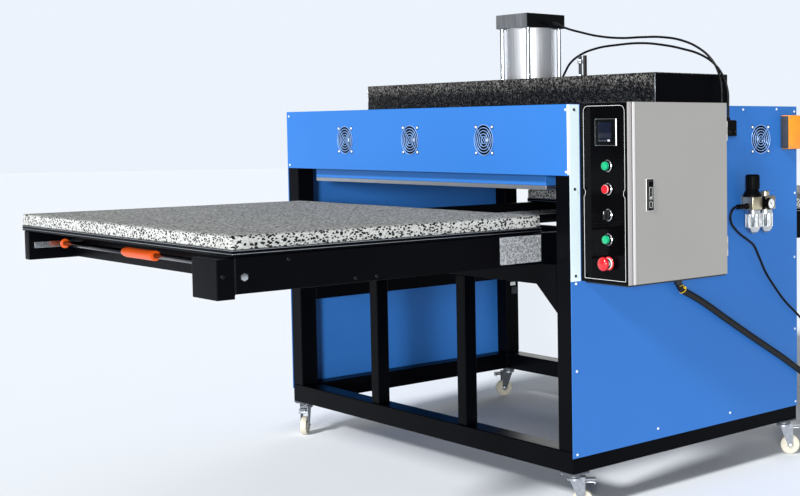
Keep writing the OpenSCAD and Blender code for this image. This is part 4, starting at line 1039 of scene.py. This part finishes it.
def bowls():
    """The clear bowls, each in a ribbed metal guard."""
    x, top = AIR_X, AIR_Z
    clear, guards = bmesh.new(), bmesh.new()
    for y in BOWLS:
        turned(clear, [(0, 0), (34, 0), (34.5, 2), (34.5, 88), (31, 102), (22, 112), (8, 118),
                       (0, 118)], (x, y, top), DOWN, 40)
        turned(guards, [(34.7, 2), (37, 2), (37, 22), (34.7, 22)], (x, y, top), DOWN, 40)
        for lead in (-0.22, 0, 0.22):
            for dx, dy in around(6, 35.6, tau / 12 + 0.2 + lead):
                rod(guards, (x + dx, y + dy, top - 20), (x + dx, y + dy, top - 88), 3.9, sides=10)
        turned(guards, [(34.7, 84), (37, 84), (34, 100), (24, 112), (22, 111)], (x, y, top),
               DOWN, 40)
        turned(guards, [(0, 116), (6, 116), (6, 119.5), (0, 119.5)], (x, y, top), DOWN, 16)
    piece("clear_bowls", clear, clear_bowl, replaced=["filter_bowls"])
    piece("bowl_guards", guards, nickel)


def gauge():
    """The pressure gauge, its dial left blank but for strokes."""
    y, z = 432, 1366
    lone("gauge_case", matt_black, turned,
         [(0, 0), (20, 0), (28.8, 4), (28.8, 22), (27, 25), (25.5, 25), (25.5, 22), (0, 22)],
         (AIR_X + 36, y, z), RIGHT, 44)
    lone("gauge_dial", white_plastic, turned, [(0, 0), (25.2, 0), (25.2, 0.8), (0, 0.8)],
         (AIR_X + 58, y, z), RIGHT, 40)
    bm = bmesh.new()
    middle = Vector((1359, y, z))
    for degrees in range(-45, 226, 27):
        angle = radians(degrees)
        out = Vector((0, -cos(angle), sin(angle)))
        bar(bm, [middle + out * 18, middle + out * 23], 0.7, 6)
    bar(bm, [(1359.4, y + 4, z - 4), (1359.4, y - 14, z + 14)], 1.0, 8)
    rod(bm, (1358.6, y, z), (1360.4, y, z), 3.4, sides=16)
    piece("gauge_needle_and_marks", bm, blackened_steel)


def valve():
    """The valve's feet, its silencers and the plate over it."""
    bm = bmesh.new()
    slab(bm, (1262, 132, 1706), (1308, 160, 1713), 1)
    slab(bm, (1250, 160, 1690), (1285, 186, 1710), 2)
    piece("valve_foot", bm, white_plastic)
    bm = bmesh.new()
    for y in (168, 208):
        turned(bm, [(0, 0), (7, 0), (7, 10), (5, 12), (0, 12)], (1310, y, 1730), RIGHT, 16)
    slab(bm, (1228, 152, 1784), (1306, 223, 1788), 1)
    piece("valve_silencers", bm, blackened_steel)


def socket_box():
    """The orange box with its louvred cover and four screws."""
    lone("orange_junction_box", orange_plastic, slab, (1225, 672, 1637), (1277, 850, 1813), 4,
         replaced=["junction_box"])
    bm = bmesh.new()
    slab(bm, (1227, 664.5, 1641), (1275, 673, 1809), 2)
    for z in range(1655, 1784, 16):
        slab(bm, (1232, 663.5, z), (1270, 666, z + 7), 1)
    piece("junction_box_louvres", bm, grey_plastic)
    bm = bmesh.new()
    for dy, dz in corners(77, 76):
        screw(bm, (1277, 761 + dy, 1725 + dz), RIGHT, 4.5, 2)
    piece("junction_box_screws", bm, zinc)


air_unit()
bowls()
gauge()
valve()
socket_box()


# ---- Casters ----
def caster(label, x, y, turn):
    """A wheel with its hub, the fork's nuts, race and brake pedal, and the plate's bolts."""
    lay = Matrix.Translation((x, y, 0)) @ Matrix.Rotation(radians(turn), 4, "Z")
    bm = bmesh.new()
    half = [(6.2, 17.8), (17, 17.8), (19, 15), (19, 13), (30, 12), (44, 13), (47, 16),
            (50, 15.8), (51.8, 12)]
    turned(bm, [(r, -w) for r, w in half] + [(51.9, 0)] + half[::-1], (35, 0, 52), REAR, 56)
    bmesh.ops.transform(bm, matrix=lay, verts=bm.verts)
    piece("nylon_wheel_" + label, bm, cream_nylon, "wheel_" + label,
          replaced=["caster_wheel_" + label])
    bm = bmesh.new()
    turned(bm, [(0, 0), (11, 0), (11, 5), (8, 7), (0, 7)], (35, 23, 52), REAR, 6)
    turned(bm, [(0, 0), (11, 0), (11, 4), (9, 6), (0, 6)], (35, -23, 52), FRONT, 6)
    turned(bm, [(30, 150), (37, 152), (37, 162), (33, 166), (28, 165), (28, 152)], (0, 0, 0),
           UP, 40)
    slab(bm, (50, -20, 140), (98, 20, 145), 2)
    slab(bm, (90, -20, 132), (97, 20, 145), 2)
    bmesh.ops.transform(bm, matrix=lay, verts=bm.verts)
    piece("caster_fittings_" + label, bm, zinc, "fork_" + label)
    bm = bmesh.new()
    for dx, dy in corners(38, 38):
        rod(bm, (x + dx, y + dy, 180), (x + dx, y + dy, 174), 8, sides=6, edge=0.8)
    piece("caster_bolts_" + label, bm, zinc)


caster("fl", -1172, -747, -45)
caster("fr", 1172, -747, 45)
caster("rl", -1172, 747, 250)
caster("rr", 1172, 747, 45)


# ---- Small things on the frame ----
def trifles():
    """A cable tie round the power lead, and a sensor on the left rear post."""
    bm = bmesh.new()
    hoop(bm, (1262, -118, 971), (0, 0.78, -0.62), 18.6, 2.2, 28)
    slab(bm, (1270, -128, 978), (1290, -122, 990), 1)
    bar(bm, [(1276, -124, 984), (1296, -150, 1000), (1300, -176, 996)], 1.6, 8)
    piece("cable_tie", bm, yellow_nylon)
    lone("sensor_bracket", white_plastic, slab, (-POST_INSIDE, 730, 731),
         (3 - POST_INSIDE, 771, 754), 1)
    bm = bmesh.new()
    slab(bm, (-POST_INSIDE, 737, 677), (10 - POST_INSIDE, 778, 721), 2)
    rod(bm, (10 - POST_INSIDE, 757, 699), (14 - POST_INSIDE, 757, 699), 9)
    piece("post_sensor", bm, grey_plastic)


trifles()


# ---- Floor, light and air ----
def studio():
    """A pale round floor, an even backdrop and three wide suns."""
    bm = bmesh.new()
    bmesh.ops.create_circle(bm, cap_ends=True, segments=96, radius=60)
    mesh = bpy.data.meshes.new("floor")
    bm.to_mesh(mesh)
    bm.free()
    floor = put("floor", mesh)
    mesh.materials.append(material("pale_studio_floor", Roughness=1.0, Specular_IOR_Level=0.0,
                                   Base_Color="#ecf0f5")[0])
    # the backdrop is brighter to the eye than the fill that it gives
    world = bpy.data.worlds.new("studio")
    bpy.context.scene.world = world
    world.use_nodes = True
    back = world.node_tree.nodes["Background"]
    seen = add(world.node_tree, "LightPath").outputs["Is Camera Ray"]
    level = add(world.node_tree, "MapRange", {"To Min": 0.26, "To Max": 1.0}, {"Value": seen})
    join(world.node_tree, level, back.inputs["Strength"])
    back.inputs["Color"].default_value = hue("#ecf3fc")
    for name, way, power, spread in (("key", (-0.165, 0.807, -0.567), 3.8, 9),
                                     ("fill", (-0.70, 0.71, -0.09), 3.0, 10),
                                     ("back", (0.55, -0.8, -0.3), 0.7, 40)):
        data = bpy.data.lights.new(name, "SUN")
        data.energy = power
        data.angle = radians(spread)
        lamp = put(name, data)
        lamp.rotation_euler = Vector(way).to_track_quat("-Z", "Y").to_euler()
    bpy.context.scene.view_settings.view_transform = "Standard"


studio()
